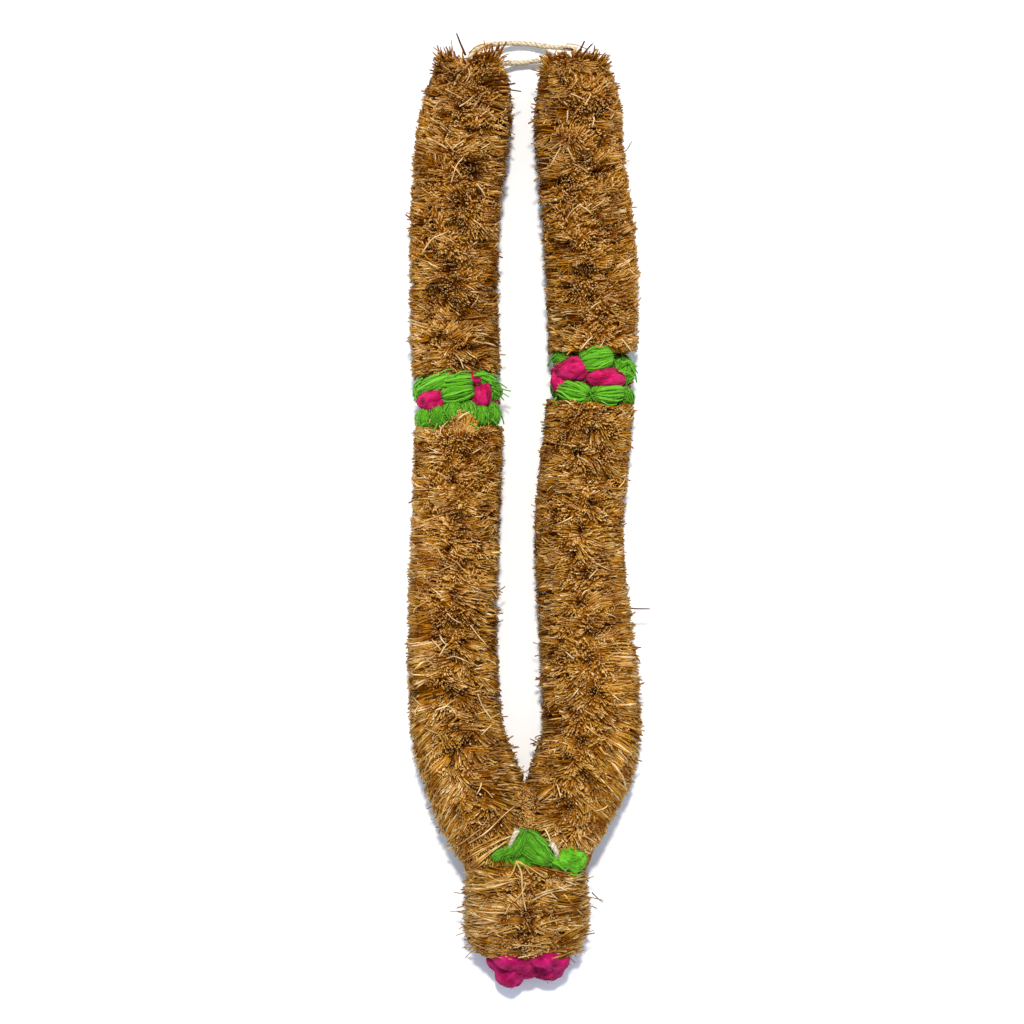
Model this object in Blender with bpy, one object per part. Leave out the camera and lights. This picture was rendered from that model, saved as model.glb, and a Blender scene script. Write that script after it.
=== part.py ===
"""A vetiver root garland lying face up: two brush-like strands of roots on core twines, joined over a
root pendant, with bands, a tie and a tassel of dyed wool. Metres, +Z up, +Y towards the top of the loop."""

import math

import bmesh
import bpy
import numpy as np
from mathutils import Matrix, Vector

MM = 0.001
SEED = 20

# The strands, from the top of the loop down. Each route is the line of the core twine.
CORE_HEIGHT = 21 * MM
LEFT_ROUTE = [
    (-33.9, 298), (-34.6, 274), (-40.3, 236), (-43.2, 191), (-43.2, 127), (-41.0, 74), (-41.0, 37),
    (-42.9, -14), (-44.8, -72), (-44.2, -117), (-41.0, -143), (-34.0, -166), (-26.0, -188), (-20.4, -207),
    (-17.6, -221.5),
]
RIGHT_ROUTE = [
    (33.3, 298), (35.2, 274), (37.1, 236), (41.6, 191), (44.8, 140), (44.8, 90), (40.3, 40),
    (36.5, -8), (39.0, -53), (42.9, -104), (43.5, -136), (39.0, -160), (32.2, -182), (26.0, -203),
    (22.4, -221.5),
]
STRAND_HALF_WIDTH = 28.6 * MM
STRAND_RISE = 26 * MM
STRAND_END_SHARES = (0.62, 0.86)
TOP_TAPER, JOINT_TAPER = 46 * MM, 34 * MM
LEFT_BAND_AT, RIGHT_BAND_AT = 223.5 * MM, 208.5 * MM
BAND_HALF_LENGTH = 16.5 * MM
BUNCHES_ABOVE, BUNCHES_BELOW = 4, 5

# The pendant hangs below the joint, on a line of its own.
JOINT_X = 2.9 * MM
PENDANT_TOP, PENDANT_BOTTOM = -222 * MM, -281 * MM
PENDANT_HALF_WIDTH = 39 * MM
PENDANT_RISE = 26.5 * MM
PENDANT_END_SHARES = (0.94, 0.74)
PENDANT_TAPER = 22 * MM

# How a route becomes a line: points per span of the curve, and points to each side that give its direction.
CURVE_STEPS = 40
DIRECTION_SPAN = 4
RISE_KEPT = 0.4  # the share of a brush's height that its tapers leave alone

# The matted middle of a bunch, and the flat sole that it lies on.
CORE_SHARE = 0.78
CORE_RINGS, PENDANT_RINGS = 5, 7
CORE_SIDES, PENDANT_SIDES = 12, 16
TUFT_RISE = 0.12
CORE_RAGGED = 0.04
RING_SHIFT = 0.15
CORE_OVER_SURFACE = 1.5 * MM
SOLE_REACH = 24 * MM
SOLE_BELOW = -0.8  # the sine of the angle from which the sides turn into the sole
FIRST_SIDE = -90

# The roots that stand out of it. They are placed by the golden ratio, with some chance in each; angles are
# in degrees from the side.
ROOT_RADIUS = 1.26 * MM
ROOT_MARGIN = 2.1 * MM
TIP_MARGIN = 1.47 * MM
ROOTS_PER_BUNCH, ROOTS_ON_PENDANT = 38, 58
ROOTED_AT = 0.6
ROOT_FROM = -48
ROOT_SPAN = 276
GOLDEN = 0.618034
FIRST_TURN = 0.13
ROOT_TURN = 4
TIP_TURN = 7
TIP_SLIDE = 3.5 * MM
TIP_SHARES = (0.96, 1.06)
SWEEP_ABOVE, SWEEP_BELOW = 0.5 * MM, 2.5 * MM  # tips slope down the strand, above and below its band
TOP_FAN, PENDANT_FAN = 6 * MM, 7 * MM  # roots at the free ends fan out past them
FAN_ZONE = 0.4
FAN_SHORTENS = 0.25

# Twine, and the gap that pieces keep from one another.
TWINE_RADIUS = 1.6 * MM
GAP = 0.35 * MM
BORE_RADIUS = TWINE_RADIUS + GAP
WELD = 0.01 * MM

# Wool.
HUB_RADIUS = 13.5 * MM
HUB_SIDES = 10
FOLD_DEPTH = 0.15
LOBE_RINGS = 4

ROOT_BROWN = (0.42, 0.23, 0.07)
WOOL_GREEN = (0.11, 0.36, 0.03)
WOOL_MAGENTA = (0.52, 0.01, 0.11)
TWINE_TAN = (0.55, 0.42, 0.24)


def clear_scene():
    for obj in list(bpy.data.objects):
        bpy.data.objects.remove(obj)


def material(name, colour, roughness):
    made = bpy.data.materials.new(name)
    made.use_nodes = True
    shader = made.node_tree.nodes["Principled BSDF"]
    shader.inputs["Base Color"].default_value = (*colour, 1)
    shader.inputs["Roughness"].default_value = roughness
    shader.inputs["Metallic"].default_value = 0
    made.diffuse_color = (*colour, 1)
    return made


def object_of(bm, name, finish=None, collection=None):
    mesh = bpy.data.meshes.new(name)
    bm.to_mesh(mesh)
    bm.free()
    obj = bpy.data.objects.new(name, mesh)
    (collection or bpy.context.scene.collection).objects.link(obj)
    if finish:
        mesh.materials.append(finish)
    return obj


def applied_boolean(obj, operation, helpers):
    """Joins the helper collection to the object, or cuts it away, and removes the helpers."""
    modifier = obj.modifiers.new("Helpers", "BOOLEAN")
    modifier.operation = operation
    modifier.operand_type = "COLLECTION"
    modifier.collection = helpers
    modifier.solver = "MANIFOLD"
    graph = bpy.context.evaluated_depsgraph_get()
    mesh = bpy.data.meshes.new_from_object(obj.evaluated_get(graph))
    obj.modifiers.clear()
    finish = list(obj.data.materials)
    obj.data = mesh
    obj.data.materials.clear()
    for each in finish:
        obj.data.materials.append(each)
    for helper in list(helpers.objects):
        bpy.data.objects.remove(helper)
    bpy.data.collections.remove(helpers)


def keep_main_body(obj):
    """Drops the loose scraps that a cut leaves."""
    bm = bmesh.new()
    bm.from_mesh(obj.data)
    bm.faces.ensure_lookup_table()
    left, bodies = set(bm.faces), []
    while left:
        body, edge = set(), [left.pop()]
        while edge:
            face = edge.pop()
            body.add(face)
            near = {other for side in face.edges for other in side.link_faces} & left
            left -= near
            edge.extend(near)
        bodies.append(body)
    bodies.sort(key=lambda body: sum(face.calc_area() for face in body))
    scraps = [face for body in bodies[:-1] for face in body]
    bmesh.ops.delete(bm, geom=scraps, context="FACES")
    bm.to_mesh(obj.data)
    bm.free()


def helper_collection():
    helpers = bpy.data.collections.new("helpers")
    bpy.context.scene.collection.children.link(helpers)
    return helpers


def smooth_line(points, step):
    """Points about a step apart on a Catmull-Rom curve through the given ones."""
    p = np.array(points, float)
    p = np.vstack([2 * p[0] - p[1], p, 2 * p[-1] - p[-2]])
    t = np.linspace(0, 1, CURVE_STEPS, endpoint=False)[:, None]
    spans = [
        0.5 * (2 * b + (c - a) * t + (2 * a - 5 * b + 4 * c - d) * t**2 + (3 * b - a - 3 * c + d) * t**3)
        for a, b, c, d in zip(p, p[1:], p[2:], p[3:])
    ]
    fine = np.vstack([*spans, p[-2:-1]])
    along = np.concatenate([[0], np.cumsum(np.linalg.norm(np.diff(fine, axis=0), axis=1))])
    at = np.linspace(0, along[-1], max(2, round(along[-1] / step) + 1))
    return np.stack([np.interp(at, along, fine[:, k]) for k in range(p.shape[1])], axis=1)


class Line:
    """A level route with its direction, its sideways direction and its reach at any distance along it."""

    def __init__(self, route, half_width, rise, end_shares, tapers):
        flat = smooth_line([(x * MM, y * MM) for x, y in route], MM)
        self.points = np.column_stack([flat, np.full(len(flat), CORE_HEIGHT)])
        steps = np.linalg.norm(np.diff(self.points, axis=0), axis=1)
        self.along = np.concatenate([[0], np.cumsum(steps)])
        self.length = self.along[-1]
        self.half_width, self.rise = half_width, rise
        self.end_shares, self.tapers = end_shares, tapers

    def place(self, s):
        inside = min(max(s, 0), self.length)
        point = Vector([float(np.interp(inside, self.along, self.points[:, k])) for k in range(3)])
        return point + self.forward(s) * (s - inside)

    def forward(self, s):
        last = len(self.points) - 1 - DIRECTION_SPAN
        i = int(np.clip(np.searchsorted(self.along, s), DIRECTION_SPAN, last))
        return Vector((self.points[i + DIRECTION_SPAN] - self.points[i - DIRECTION_SPAN]).tolist()).normalized()

    def side(self, s):
        """To the right as seen from above with the top of the loop upwards."""
        ahead = self.forward(s)
        return Vector((-ahead.y, ahead.x, 0))

    def taper(self, s):
        share = 1
        for at, end_share, length in zip((s, self.length - s), self.end_shares, self.tapers):
            t = min(max(at / length, 0), 1)
            share *= end_share + (1 - end_share) * t * (2 - t)
        return share

    def reach(self, s, angle):
        """How far the trimmed tips stand from the core at an angle from the side, positive upwards."""
        wide = self.half_width * self.taper(s)
        high = self.rise * (RISE_KEPT + (1 - RISE_KEPT) * self.taper(s))
        return 1 / math.hypot(math.cos(angle) / wide, math.sin(angle) / high)

    def out(self, s, angle):
        return self.side(s) * math.cos(angle) + Vector((0, 0, math.sin(angle)))


class Space:
    """The half-spaces that a bunch keeps to, so that nothing of it crosses its neighbours."""

    def __init__(self, *planes):
        self.planes = [(Vector(point), Vector(inward).normalized()) for point, inward in planes]

    def pulled_in(self, base, tip, margin):
        share = 1.0
        for point, inward in self.planes:
            room, reached = (base - point).dot(inward) - margin, (tip - point).dot(inward) - margin
            if reached < 0:
                share = min(share, max(room / (room - reached), 0))
        return base + (tip - base) * share

    def clamped(self, point):
        for plane, inward in self.planes:
            depth = (point - plane).dot(inward)
            if depth < 0:
                point = point - inward * depth
        return point


def core_point(line, s, shift, angle, lock):
    """A corner of a bunch's matted middle: on its relief, or on the flat sole under it."""
    sole = math.sin(angle) < SOLE_BELOW
    reach = SOLE_REACH if sole else line.reach(s, angle) * CORE_SHARE * lock
    point = line.place(s + shift) + line.out(s, angle) * reach
    point.z = 0 if sole else max(point.z, CORE_OVER_SURFACE)
    return point


def matted_core(line, start, end, rings, rng, sides, space):
    """The dense middle of a bunch: locks of roots as relief, matted flat where it lies on the surface."""
    bm = bmesh.new()
    loops = []
    for j in range(rings):
        s = start + (end - start) * j / (rings - 1)
        loop = []
        for k in range(sides):
            angle = math.radians(FIRST_SIDE + 360 * k / sides)
            lock = 1 + TUFT_RISE * (1 if (j + k) % 2 else -1) + rng.uniform(-CORE_RAGGED, CORE_RAGGED)
            at_end = j in (0, rings - 1)
            shift = 0 if at_end else rng.uniform(-RING_SHIFT, RING_SHIFT) * (end - start) / rings
            loop.append(bm.verts.new(space.clamped(core_point(line, s, shift, angle, lock))))
        loops.append(loop)
    for one, two in zip(loops, loops[1:]):
        for k in range(sides):
            n = (k + 1) % sides
            bm.faces.new((one[k], one[n], two[n], two[k]))
    bm.faces.new(loops[0])
    bm.faces.new(loops[-1])
    bmesh.ops.recalc_face_normals(bm, faces=bm.faces)
    return bm


def root(base, tip, collection):
    """One stiff root, three-sided, thinner towards its tip."""
    bm = bmesh.new()
    run = tip - base
    turn = run.to_track_quat("Z", "X").to_matrix().to_4x4()
    bmesh.ops.create_cone(
        bm, cap_ends=True, segments=3, radius1=ROOT_RADIUS, radius2=0, depth=run.length,
        matrix=Matrix.Translation((base + tip) / 2) @ turn,
    )
    object_of(bm, "root", collection=collection)


def root_ends(i, roots, line, low, high, rng, sweep, fan_start, fan_end):
    """Where the i-th root of a bunch leaves the core, and where its tip is."""
    part = (i + 0.5) / roots
    s = low + ROOT_MARGIN + (high - low - 2 * ROOT_MARGIN) * part
    turn = ROOT_SPAN * ((i * GOLDEN + FIRST_TURN) % 1)
    angle = math.radians(ROOT_FROM + turn + rng.uniform(-ROOT_TURN, ROOT_TURN))
    fan = -fan_start * (1 - part) ** 3 + fan_end * part**3
    tip_s = s + rng.normal(0, TIP_SLIDE) + sweep + fan
    if not fan_start or part > FAN_ZONE:
        tip_s = max(tip_s, low + ROOT_MARGIN)
    if not fan_end or part < 1 - FAN_ZONE:
        tip_s = min(tip_s, high - ROOT_MARGIN)
    tip_angle = angle + math.radians(rng.normal(0, TIP_TURN))
    share = rng.uniform(*TIP_SHARES) - FAN_SHORTENS * abs(fan) / STRAND_HALF_WIDTH
    base = line.place(s) + line.out(s, angle) * line.reach(s, angle) * ROOTED_AT
    tip = line.place(tip_s) + line.out(tip_s, tip_angle) * line.reach(tip_s, tip_angle) * share
    return base, tip


def root_bunch(name, line, start, end, finish, rng, space, roots=ROOTS_PER_BUNCH, rings=CORE_RINGS,
               sides=CORE_SIDES, sweep=0.0, fan_start=0.0, fan_end=0.0):
    """One tied bunch: a matted core with roots standing out of it on all sides but the one it lies on."""
    low, high = start + GAP / 2, end - GAP / 2
    bunch = object_of(matted_core(line, low, high, rings, rng, sides, space), name, finish)
    helpers = helper_collection()
    for i in range(roots):
        base, tip = root_ends(i, roots, line, low, high, rng, sweep, fan_start, fan_end)
        root(base, space.pulled_in(base, tip, TIP_MARGIN), helpers)
    applied_boolean(bunch, "UNION", helpers)
    return bunch


def tube(name, points, radius, finish=None, collection=None, resolution=2):
    curve = bpy.data.curves.new(name, "CURVE")
    curve.dimensions = "3D"
    curve.bevel_depth = radius
    curve.bevel_resolution = resolution
    curve.use_fill_caps = True
    spline = curve.splines.new("POLY")
    spline.points.add(len(points) - 1)
    for spot, point in zip(spline.points, points):
        spot.co = (*point, 1)
    obj = bpy.data.objects.new(name, curve)
    (collection or bpy.context.scene.collection).objects.link(obj)
    if finish:
        curve.materials.append(finish)
    return obj


def tube_mesh(points, radius, collection):
    """A tube as a mesh, for cutting."""
    source = tube("cutter", points, radius)
    graph = bpy.context.evaluated_depsgraph_get()
    mesh = bpy.data.meshes.new_from_object(source.evaluated_get(graph))
    bpy.data.objects.remove(source)
    bm = bmesh.new()
    bm.from_mesh(mesh)
    bmesh.ops.remove_doubles(bm, verts=bm.verts, dist=WELD)
    bmesh.ops.recalc_face_normals(bm, faces=bm.faces)
    return object_of(bm, "cutter", collection=collection)


def lobe(centre, out, across, along, size, tilt, folds, grow, collection):
    """A puff of wool: an egg with folds along it. Size is its half length, half breadth and half depth."""
    bm = bmesh.new()
    bmesh.ops.create_uvsphere(bm, u_segments=folds * 2, v_segments=LOBE_RINGS, radius=1)
    for vert in bm.verts:
        turn = math.atan2(vert.co.y, vert.co.x)
        fold = 1 - FOLD_DEPTH * (round(turn / math.pi * folds) % 2)
        vert.co = Vector((vert.co.x * fold, vert.co.y * fold, vert.co.z))
    lean = math.radians(tilt)
    length_way = across * math.cos(lean) + along * math.sin(lean)
    breadth_way = out.cross(length_way)
    half_length, half_breadth, half_depth = (each + grow for each in size)
    for vert in bm.verts:
        place = (
            centre + length_way * vert.co.z * half_length + breadth_way * vert.co.x * half_breadth
            + out * vert.co.y * half_depth
        )
        place.z = max(place.z, GAP - grow)
        vert.co = place
    object_of(bm, "lobe", collection=collection)


def hub(centre, along, half_length, radius, grow, collection):
    """Wool wound round the core, which ties the puffs to it."""
    bm = bmesh.new()
    turn = along.to_track_quat("Z", "X").to_matrix().to_4x4()
    bmesh.ops.create_cone(
        bm, cap_ends=True, segments=HUB_SIDES, radius1=radius + grow, radius2=radius + grow,
        depth=2 * (half_length + grow), matrix=Matrix.Translation(centre) @ turn,
    )
    object_of(bm, "hub", collection=collection)


# The wool of the two bands: across, along, half length, half breadth, tilt and folds of each puff on the
# side that faces up, in millimetres and degrees from the band's middle.
LEFT_UPPER = [(-10.5, 13, 17, 5.2, 8, 4), (0, 5.6, 9.5, 5.8, 16, 4), (18.8, 12.6, 9.8, 5.8, -16, 4)]
LEFT_MIDDLE = [(-17, 0.6, 10.8, 7.2, 6, 4), (13.6, 2.8, 8.8, 6, 82, 4), (8.8, 12.6, 4.6, 2.8, -25, 3)]
LEFT_LOWER = [(-17.4, -11, 10, 5.6, 0, 4), (-1.8, -7, 10, 5.6, 8, 4), (18.2, -10.6, 11, 7, -10, 4)]
RIGHT_UPPER = [(-22.5, 12.6, 6, 4.6, 0, 4), (2, 12, 10.4, 7.6, 14, 4), (23, 4, 8.5, 7, 62, 4)]
RIGHT_MIDDLE = [(-16.5, 3.8, 13, 8.6, 8, 4), (-24, -7, 8, 5, -68, 4), (8.5, -0.6, 12, 6.2, 12, 4)]
RIGHT_LOWER = [(-12, -10.5, 11.4, 7, -12, 4), (10.5, -10, 10.6, 6.8, 5, 4), (22.5, -10.7, 7, 6, -30, 3)]
PUFF_DEPTH = 9.4 * MM
PUFF_TOP = 26.5 * MM
BACK_ANGLES = (200, 270, 340)
BACK_PUFF = (13 * MM, 6.4 * MM, 8 * MM)
BACK_OUT, BACK_OUT_AT_SIDES = 13 * MM, 6 * MM
BACK_TILT = 14
BACK_FOLDS = 3
TIER_AT = {"upper": 10.2 * MM, "middle": 0.6 * MM, "lower": -10.2 * MM}
TIER_HALF = {"upper": 4.6 * MM, "middle": 4.4 * MM, "lower": 5.6 * MM}


def band_tier(line, at, tier, puffs, grow, collection):
    """The puffs of one tier of a band, and the hub that ties them to the core."""
    middle, forward, side = line.place(at), line.forward(at), line.side(at)
    along, up = -forward, Vector((0, 0, 1))
    for across_mm, along_mm, half_length, half_breadth, tilt, folds in puffs:
        angle = math.acos(max(-1, min(1, across_mm * MM / (STRAND_HALF_WIDTH - PUFF_DEPTH))))
        out = side * math.cos(angle) + up * math.sin(angle)
        far = PUFF_TOP - PUFF_DEPTH
        centre = middle + side * across_mm * MM + up * far * math.sin(angle) + along * along_mm * MM
        across = side * math.sin(angle) - up * math.cos(angle)
        size = (half_length * MM, half_breadth * MM, PUFF_DEPTH)
        lobe(centre, out, across, along, size, tilt, folds, grow, collection)
    for i, degrees in enumerate(BACK_ANGLES):
        angle = math.radians(degrees)
        out = side * math.cos(angle) + up * math.sin(angle)
        across = side * math.sin(angle) - up * math.cos(angle)
        far = BACK_OUT + BACK_OUT_AT_SIDES * abs(math.cos(angle))
        centre = middle + out * far + along * TIER_AT[tier]
        lobe(centre, out, across, along, BACK_PUFF, (-1) ** i * BACK_TILT, BACK_FOLDS, grow, collection)
    hub(middle + along * TIER_AT[tier], along, TIER_HALF[tier], HUB_RADIUS, grow, collection)


# The tie over the joint and the tassel below the pendant: x and y from the joint's line, height, half
# length, half breadth, half depth, tilt and folds of each puff, in millimetres and degrees.
TIE_PUFFS = [
    (-17.4, -213.8, 37.4, 8.6, 4.8, 8.2, 34, 4), (-4.6, -207.6, 38.2, 12, 5.6, 10.6, 66, 4),
    (8.2, -210.4, 39, 15.4, 7.2, 11, -42, 4), (28.6, -216.4, 37, 9.8, 8, 10, -16, 4),
    (-8, -217, 11, 12, 6.5, 10, 10, 3), (11, -218, 11, 12, 6.5, 10, -14, 3),
]
TIE_WRAPS = [((7, -218, 34), (1, 0, 0), 21, 6), ((0, -216, 22), (0, 0, 1), 13, 7.5)]
TASSEL_PUFFS = [
    (-15.5, -283.2, 18, 10, 7.2, 10, -20, 4), (-11.2, -291, 16, 11, 9.6, 13, 60, 4),
    (-1, -285.4, 19, 12, 9.5, 14, 0, 4), (15.3, -283.6, 18, 12.6, 8.6, 13, 10, 4),
    (9.4, -290.2, 15, 8.4, 7.4, 10.6, -26, 3), (11, -280, 33, 10, 6.4, 10, 10, 3),
    (-9.4, -281.6, 31, 11.4, 6.2, 10, -4, 3),
]


def wool_puffs(puffs, grow, collection):
    """Loose puffs seen from above, fused to each other."""
    side, along, up = Vector((1, 0, 0)), Vector((0, 1, 0)), Vector((0, 0, 1))
    for x, y, z, half_length, half_breadth, half_depth, tilt, folds in puffs:
        centre = Vector((JOINT_X + x * MM, y * MM, z * MM))
        size = (half_length * MM, half_breadth * MM, half_depth * MM)
        lobe(centre, up, side, along, size, tilt, folds, grow, collection)


def tie(grow, collection):
    wool_puffs(TIE_PUFFS, grow, collection)
    for (x, y, z), along, half_length, radius in TIE_WRAPS:
        centre = Vector((JOINT_X + x * MM, y * MM, z * MM))
        hub(centre, Vector(along), half_length * MM, radius * MM, grow, collection)


def tassel(grow, collection):
    wool_puffs(TASSEL_PUFFS, grow, collection)


def wool_body(name, finish, parts, cuts):
    """Fuses the parts that a function adds to a collection, and cuts away what others add to another."""
    helpers = helper_collection()
    for part in parts:
        part(0, helpers)
    body = helpers.objects[-1]
    helpers.objects.unlink(body)
    bpy.context.scene.collection.objects.link(body)
    body.name = name
    body.data.materials.append(finish)
    applied_boolean(body, "UNION", helpers)
    if cuts:
        cut_by(body, cuts)
    return body


def cut_by(body, cuts):
    helpers = helper_collection()
    for cut in cuts:
        cut(GAP, helpers)
    applied_boolean(body, "DIFFERENCE", helpers)
    keep_main_body(body)


# The core twines: each starts at its cut end over the joint, follows its strand up, crosses to the other
# strand and ends tied inside it. Points of the free ends are x, y and height in millimetres.
LEFT_END = [(-4.6, -203, 48.5), (-5.8, -207, 45), (-9, -211.5, 38), (-16, -212, 29), (-20.4, -203, 22.4)]
RIGHT_END = [
    (21.6, -212.5, 48.5), (20.4, -216, 44.5), (20.2, -217.5, 37), (23.6, -214.5, 28), (26.2, -204, 22.2),
]
OUTER_CROSSING = [
    (-33.8, 292, 21), (-31.6, 299, 19.6), (-24, 304, 14), (-9, 306.6, 6.5), (3, 306.6, 5), (15, 304.6, 6.5),
    (27, 302.6, 14), (35.5, 300, 19.6), (39.6, 291, 21), (41.4, 279, 21), (42.4, 264, 21),
]
INNER_CROSSING = [
    (33.6, 281, 21), (32.2, 290, 20.4), (25, 295.4, 15.6), (13, 295.4, 8), (2, 294.4, 5), (-8, 293.6, 7),
    (-18.5, 291.6, 14), (-25.6, 286.4, 19.4), (-27.8, 277, 21), (-29.6, 262, 21),
]
END_HELD, OUTER_HELD, INNER_HELD = 34 * MM, 14 * MM, 26 * MM
PENDANT_TWINE_OVER, PENDANT_TWINE_PAST = 9 * MM, 6 * MM
HELD_STEP = 22 * MM
FREE_STEP = 6.5 * MM


def along_line(line, start, end, step):
    count = max(2, round(abs(end - start) / step) + 1)
    return [tuple(line.place(start + (end - start) * i / (count - 1))) for i in range(count)]


def scaled(points):
    return [tuple(value * MM for value in point) for point in points]


def twine_route(line, lower_end, held_from, crossing):
    """From the cut end over the joint, up the strand on its line, and over the top of the loop."""
    foot = smooth_line(scaled(lower_end), FREE_STEP)
    held = along_line(line, line.length - END_HELD, held_from, HELD_STEP)
    over = smooth_line(scaled(crossing), FREE_STEP)
    return [tuple(p) for p in foot] + held + [tuple(p) for p in over]


def bored(body, routes):
    """Cuts the way of each twine through a piece, with the gap that pieces keep."""
    helpers = helper_collection()
    for route in routes:
        tube_mesh(route, BORE_RADIUS, helpers)
    applied_boolean(body, "DIFFERENCE", helpers)
    keep_main_body(body)


def tier_maker(line, at, tier, puffs):
    """A function that adds one tier of a band to a collection."""
    def add(grow, collection):
        band_tier(line, at, tier, puffs, grow, collection)
    return add


def band(name, line, at, tiers, green, magenta, twines):
    """The three wool nodes of a band. Returns what the bunches beside it are cut by."""
    upper, middle, lower = (tier_maker(line, at, tier, puffs) for tier, puffs in zip(TIER_AT, tiers))
    bodies = [
        wool_body(f"{name}_band_magenta", magenta, [middle], []),
        wool_body(f"{name}_band_green_upper", green, [upper], [middle]),
        wool_body(f"{name}_band_green_lower", green, [lower], [middle, upper]),
    ]
    for body in bodies:
        bored(body, twines)
    return [upper, middle, lower]


def strand(name, line, band_at, mirror, finish, rng):
    """The bunches of one strand, from the top down."""
    above, below = band_at - BAND_HALF_LENGTH, band_at + BAND_HALF_LENGTH
    edges = [above * i / BUNCHES_ABOVE for i in range(BUNCHES_ABOVE + 1)]
    edges += [below + (line.length - below) * i / BUNCHES_BELOW for i in range(BUNCHES_BELOW + 1)]
    spans = [pair for pair in zip(edges, edges[1:]) if pair != (above, below)]
    bunches = []
    for i, (start, end) in enumerate(spans):
        planes = [
            ((0, 0, 0), (0, 0, 1)),
            ((JOINT_X - mirror * GAP / 2, 0, 0), (-mirror, 0, 0)),
            ((0, PENDANT_TOP + GAP / 2, 0), (0, 1, 0)),
            (line.place(end - GAP / 2), -line.forward(end)),
        ]
        if i:
            planes.append((line.place(start + GAP / 2), line.forward(start)))
        sweep = SWEEP_BELOW if i >= BUNCHES_ABOVE else SWEEP_ABOVE
        fan = 0 if i else TOP_FAN
        space = Space(*planes)
        bunches.append(root_bunch(
            f"{name}_bunch_{i + 1}", line, start, end, finish, rng, space, sweep=sweep, fan_start=fan,
        ))
    return bunches


def fitted(bunches, tiers, twines):
    """Cuts the wool and the twines out of the bunches of a strand."""
    for i, bunch in enumerate(bunches):
        if i in (BUNCHES_ABOVE - 1, BUNCHES_ABOVE):
            cut_by(bunch, tiers)
        if i == len(bunches) - 1:
            cut_by(bunch, [tie])
        bored(bunch, twines)


def pendant(line, finish, rng, twines):
    space = Space(((0, 0, 0), (0, 0, 1)), ((0, PENDANT_TOP - GAP / 2, 0), (0, -1, 0)))
    bunch = root_bunch(
        "pendant_bunch", line, 0, line.length, finish, rng, space, roots=ROOTS_ON_PENDANT,
        rings=PENDANT_RINGS, sides=PENDANT_SIDES, fan_end=PENDANT_FAN,
    )
    cut_by(bunch, [tie, tassel])
    bored(bunch, twines)


def main():
    clear_scene()
    rng = np.random.default_rng(SEED)
    roots = material("vetiver_root", ROOT_BROWN, 0.75)
    green = material("wool_green", WOOL_GREEN, 0.9)
    magenta = material("wool_magenta", WOOL_MAGENTA, 0.9)
    twine = material("twine", TWINE_TAN, 0.85)

    tapers = (TOP_TAPER, JOINT_TAPER)
    left = Line(LEFT_ROUTE, STRAND_HALF_WIDTH, STRAND_RISE, STRAND_END_SHARES, tapers)
    right = Line(RIGHT_ROUTE, STRAND_HALF_WIDTH, STRAND_RISE, STRAND_END_SHARES, tapers)
    ends_mm = [(JOINT_X / MM, y / MM) for y in (PENDANT_TOP, PENDANT_BOTTOM)]
    hanging = Line(ends_mm, PENDANT_HALF_WIDTH, PENDANT_RISE, PENDANT_END_SHARES, (PENDANT_TAPER,) * 2)

    left_twine = twine_route(left, LEFT_END, OUTER_HELD, OUTER_CROSSING)
    right_twine = twine_route(right, RIGHT_END, INNER_HELD, INNER_CROSSING)
    pendant_end = hanging.length + PENDANT_TWINE_PAST
    pendant_twine = along_line(hanging, -PENDANT_TWINE_OVER, pendant_end, HELD_STEP)
    twines = [left_twine, right_twine, pendant_twine]

    left_tiers = (LEFT_UPPER, LEFT_MIDDLE, LEFT_LOWER)
    right_tiers = (RIGHT_UPPER, RIGHT_MIDDLE, RIGHT_LOWER)
    left_band = band("left", left, LEFT_BAND_AT, left_tiers, green, magenta, twines)
    right_band = band("right", right, RIGHT_BAND_AT, right_tiers, green, magenta, twines)
    left_bunches = strand("left", left, LEFT_BAND_AT, 1, roots, rng)
    right_bunches = strand("right", right, RIGHT_BAND_AT, -1, roots, rng)
    fitted(left_bunches, left_band, twines)
    fitted(right_bunches, right_band, twines)
    pendant(hanging, roots, rng, twines)
    bored(wool_body("tie_green", green, [tie], []), twines)
    bored(wool_body("tassel_magenta", magenta, [tassel], []), twines)

    tube("core_twine_left", left_twine, TWINE_RADIUS, twine)
    tube("core_twine_right", right_twine, TWINE_RADIUS, twine)
    tube("core_twine_pendant", pendant_twine, TWINE_RADIUS, twine)


main()
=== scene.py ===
import math
from functools import partial
import bpy
import numpy as np
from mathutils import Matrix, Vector, noise


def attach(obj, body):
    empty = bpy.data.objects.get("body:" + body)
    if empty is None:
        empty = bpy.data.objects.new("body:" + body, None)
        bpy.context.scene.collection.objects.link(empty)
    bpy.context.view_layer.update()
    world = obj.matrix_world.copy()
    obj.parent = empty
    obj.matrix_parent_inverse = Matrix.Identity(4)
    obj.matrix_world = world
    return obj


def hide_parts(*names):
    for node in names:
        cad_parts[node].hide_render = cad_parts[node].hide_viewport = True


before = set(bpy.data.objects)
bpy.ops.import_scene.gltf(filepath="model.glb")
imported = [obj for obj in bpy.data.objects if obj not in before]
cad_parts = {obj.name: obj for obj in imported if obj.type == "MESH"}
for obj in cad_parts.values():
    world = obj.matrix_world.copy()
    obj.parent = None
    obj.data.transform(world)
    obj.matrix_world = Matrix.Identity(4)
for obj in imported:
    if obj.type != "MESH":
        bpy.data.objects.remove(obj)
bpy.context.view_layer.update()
bpy.ops.object.select_all(action="DESELECT")

mm = 0.001
rng = np.random.default_rng(11)
up = np.array([0.0, 0.0, 1.0])


# Camera, light and floor

photo = {
    "metresPerPixel": 0.64 * mm,
    "middlePixel": (522, 518.5),  # the pixel that is the garland's origin
    "size": 1024,
    "distance": 2.1,
    "sharpHeight": 24 * mm,  # the height at which the scale holds
}


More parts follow.
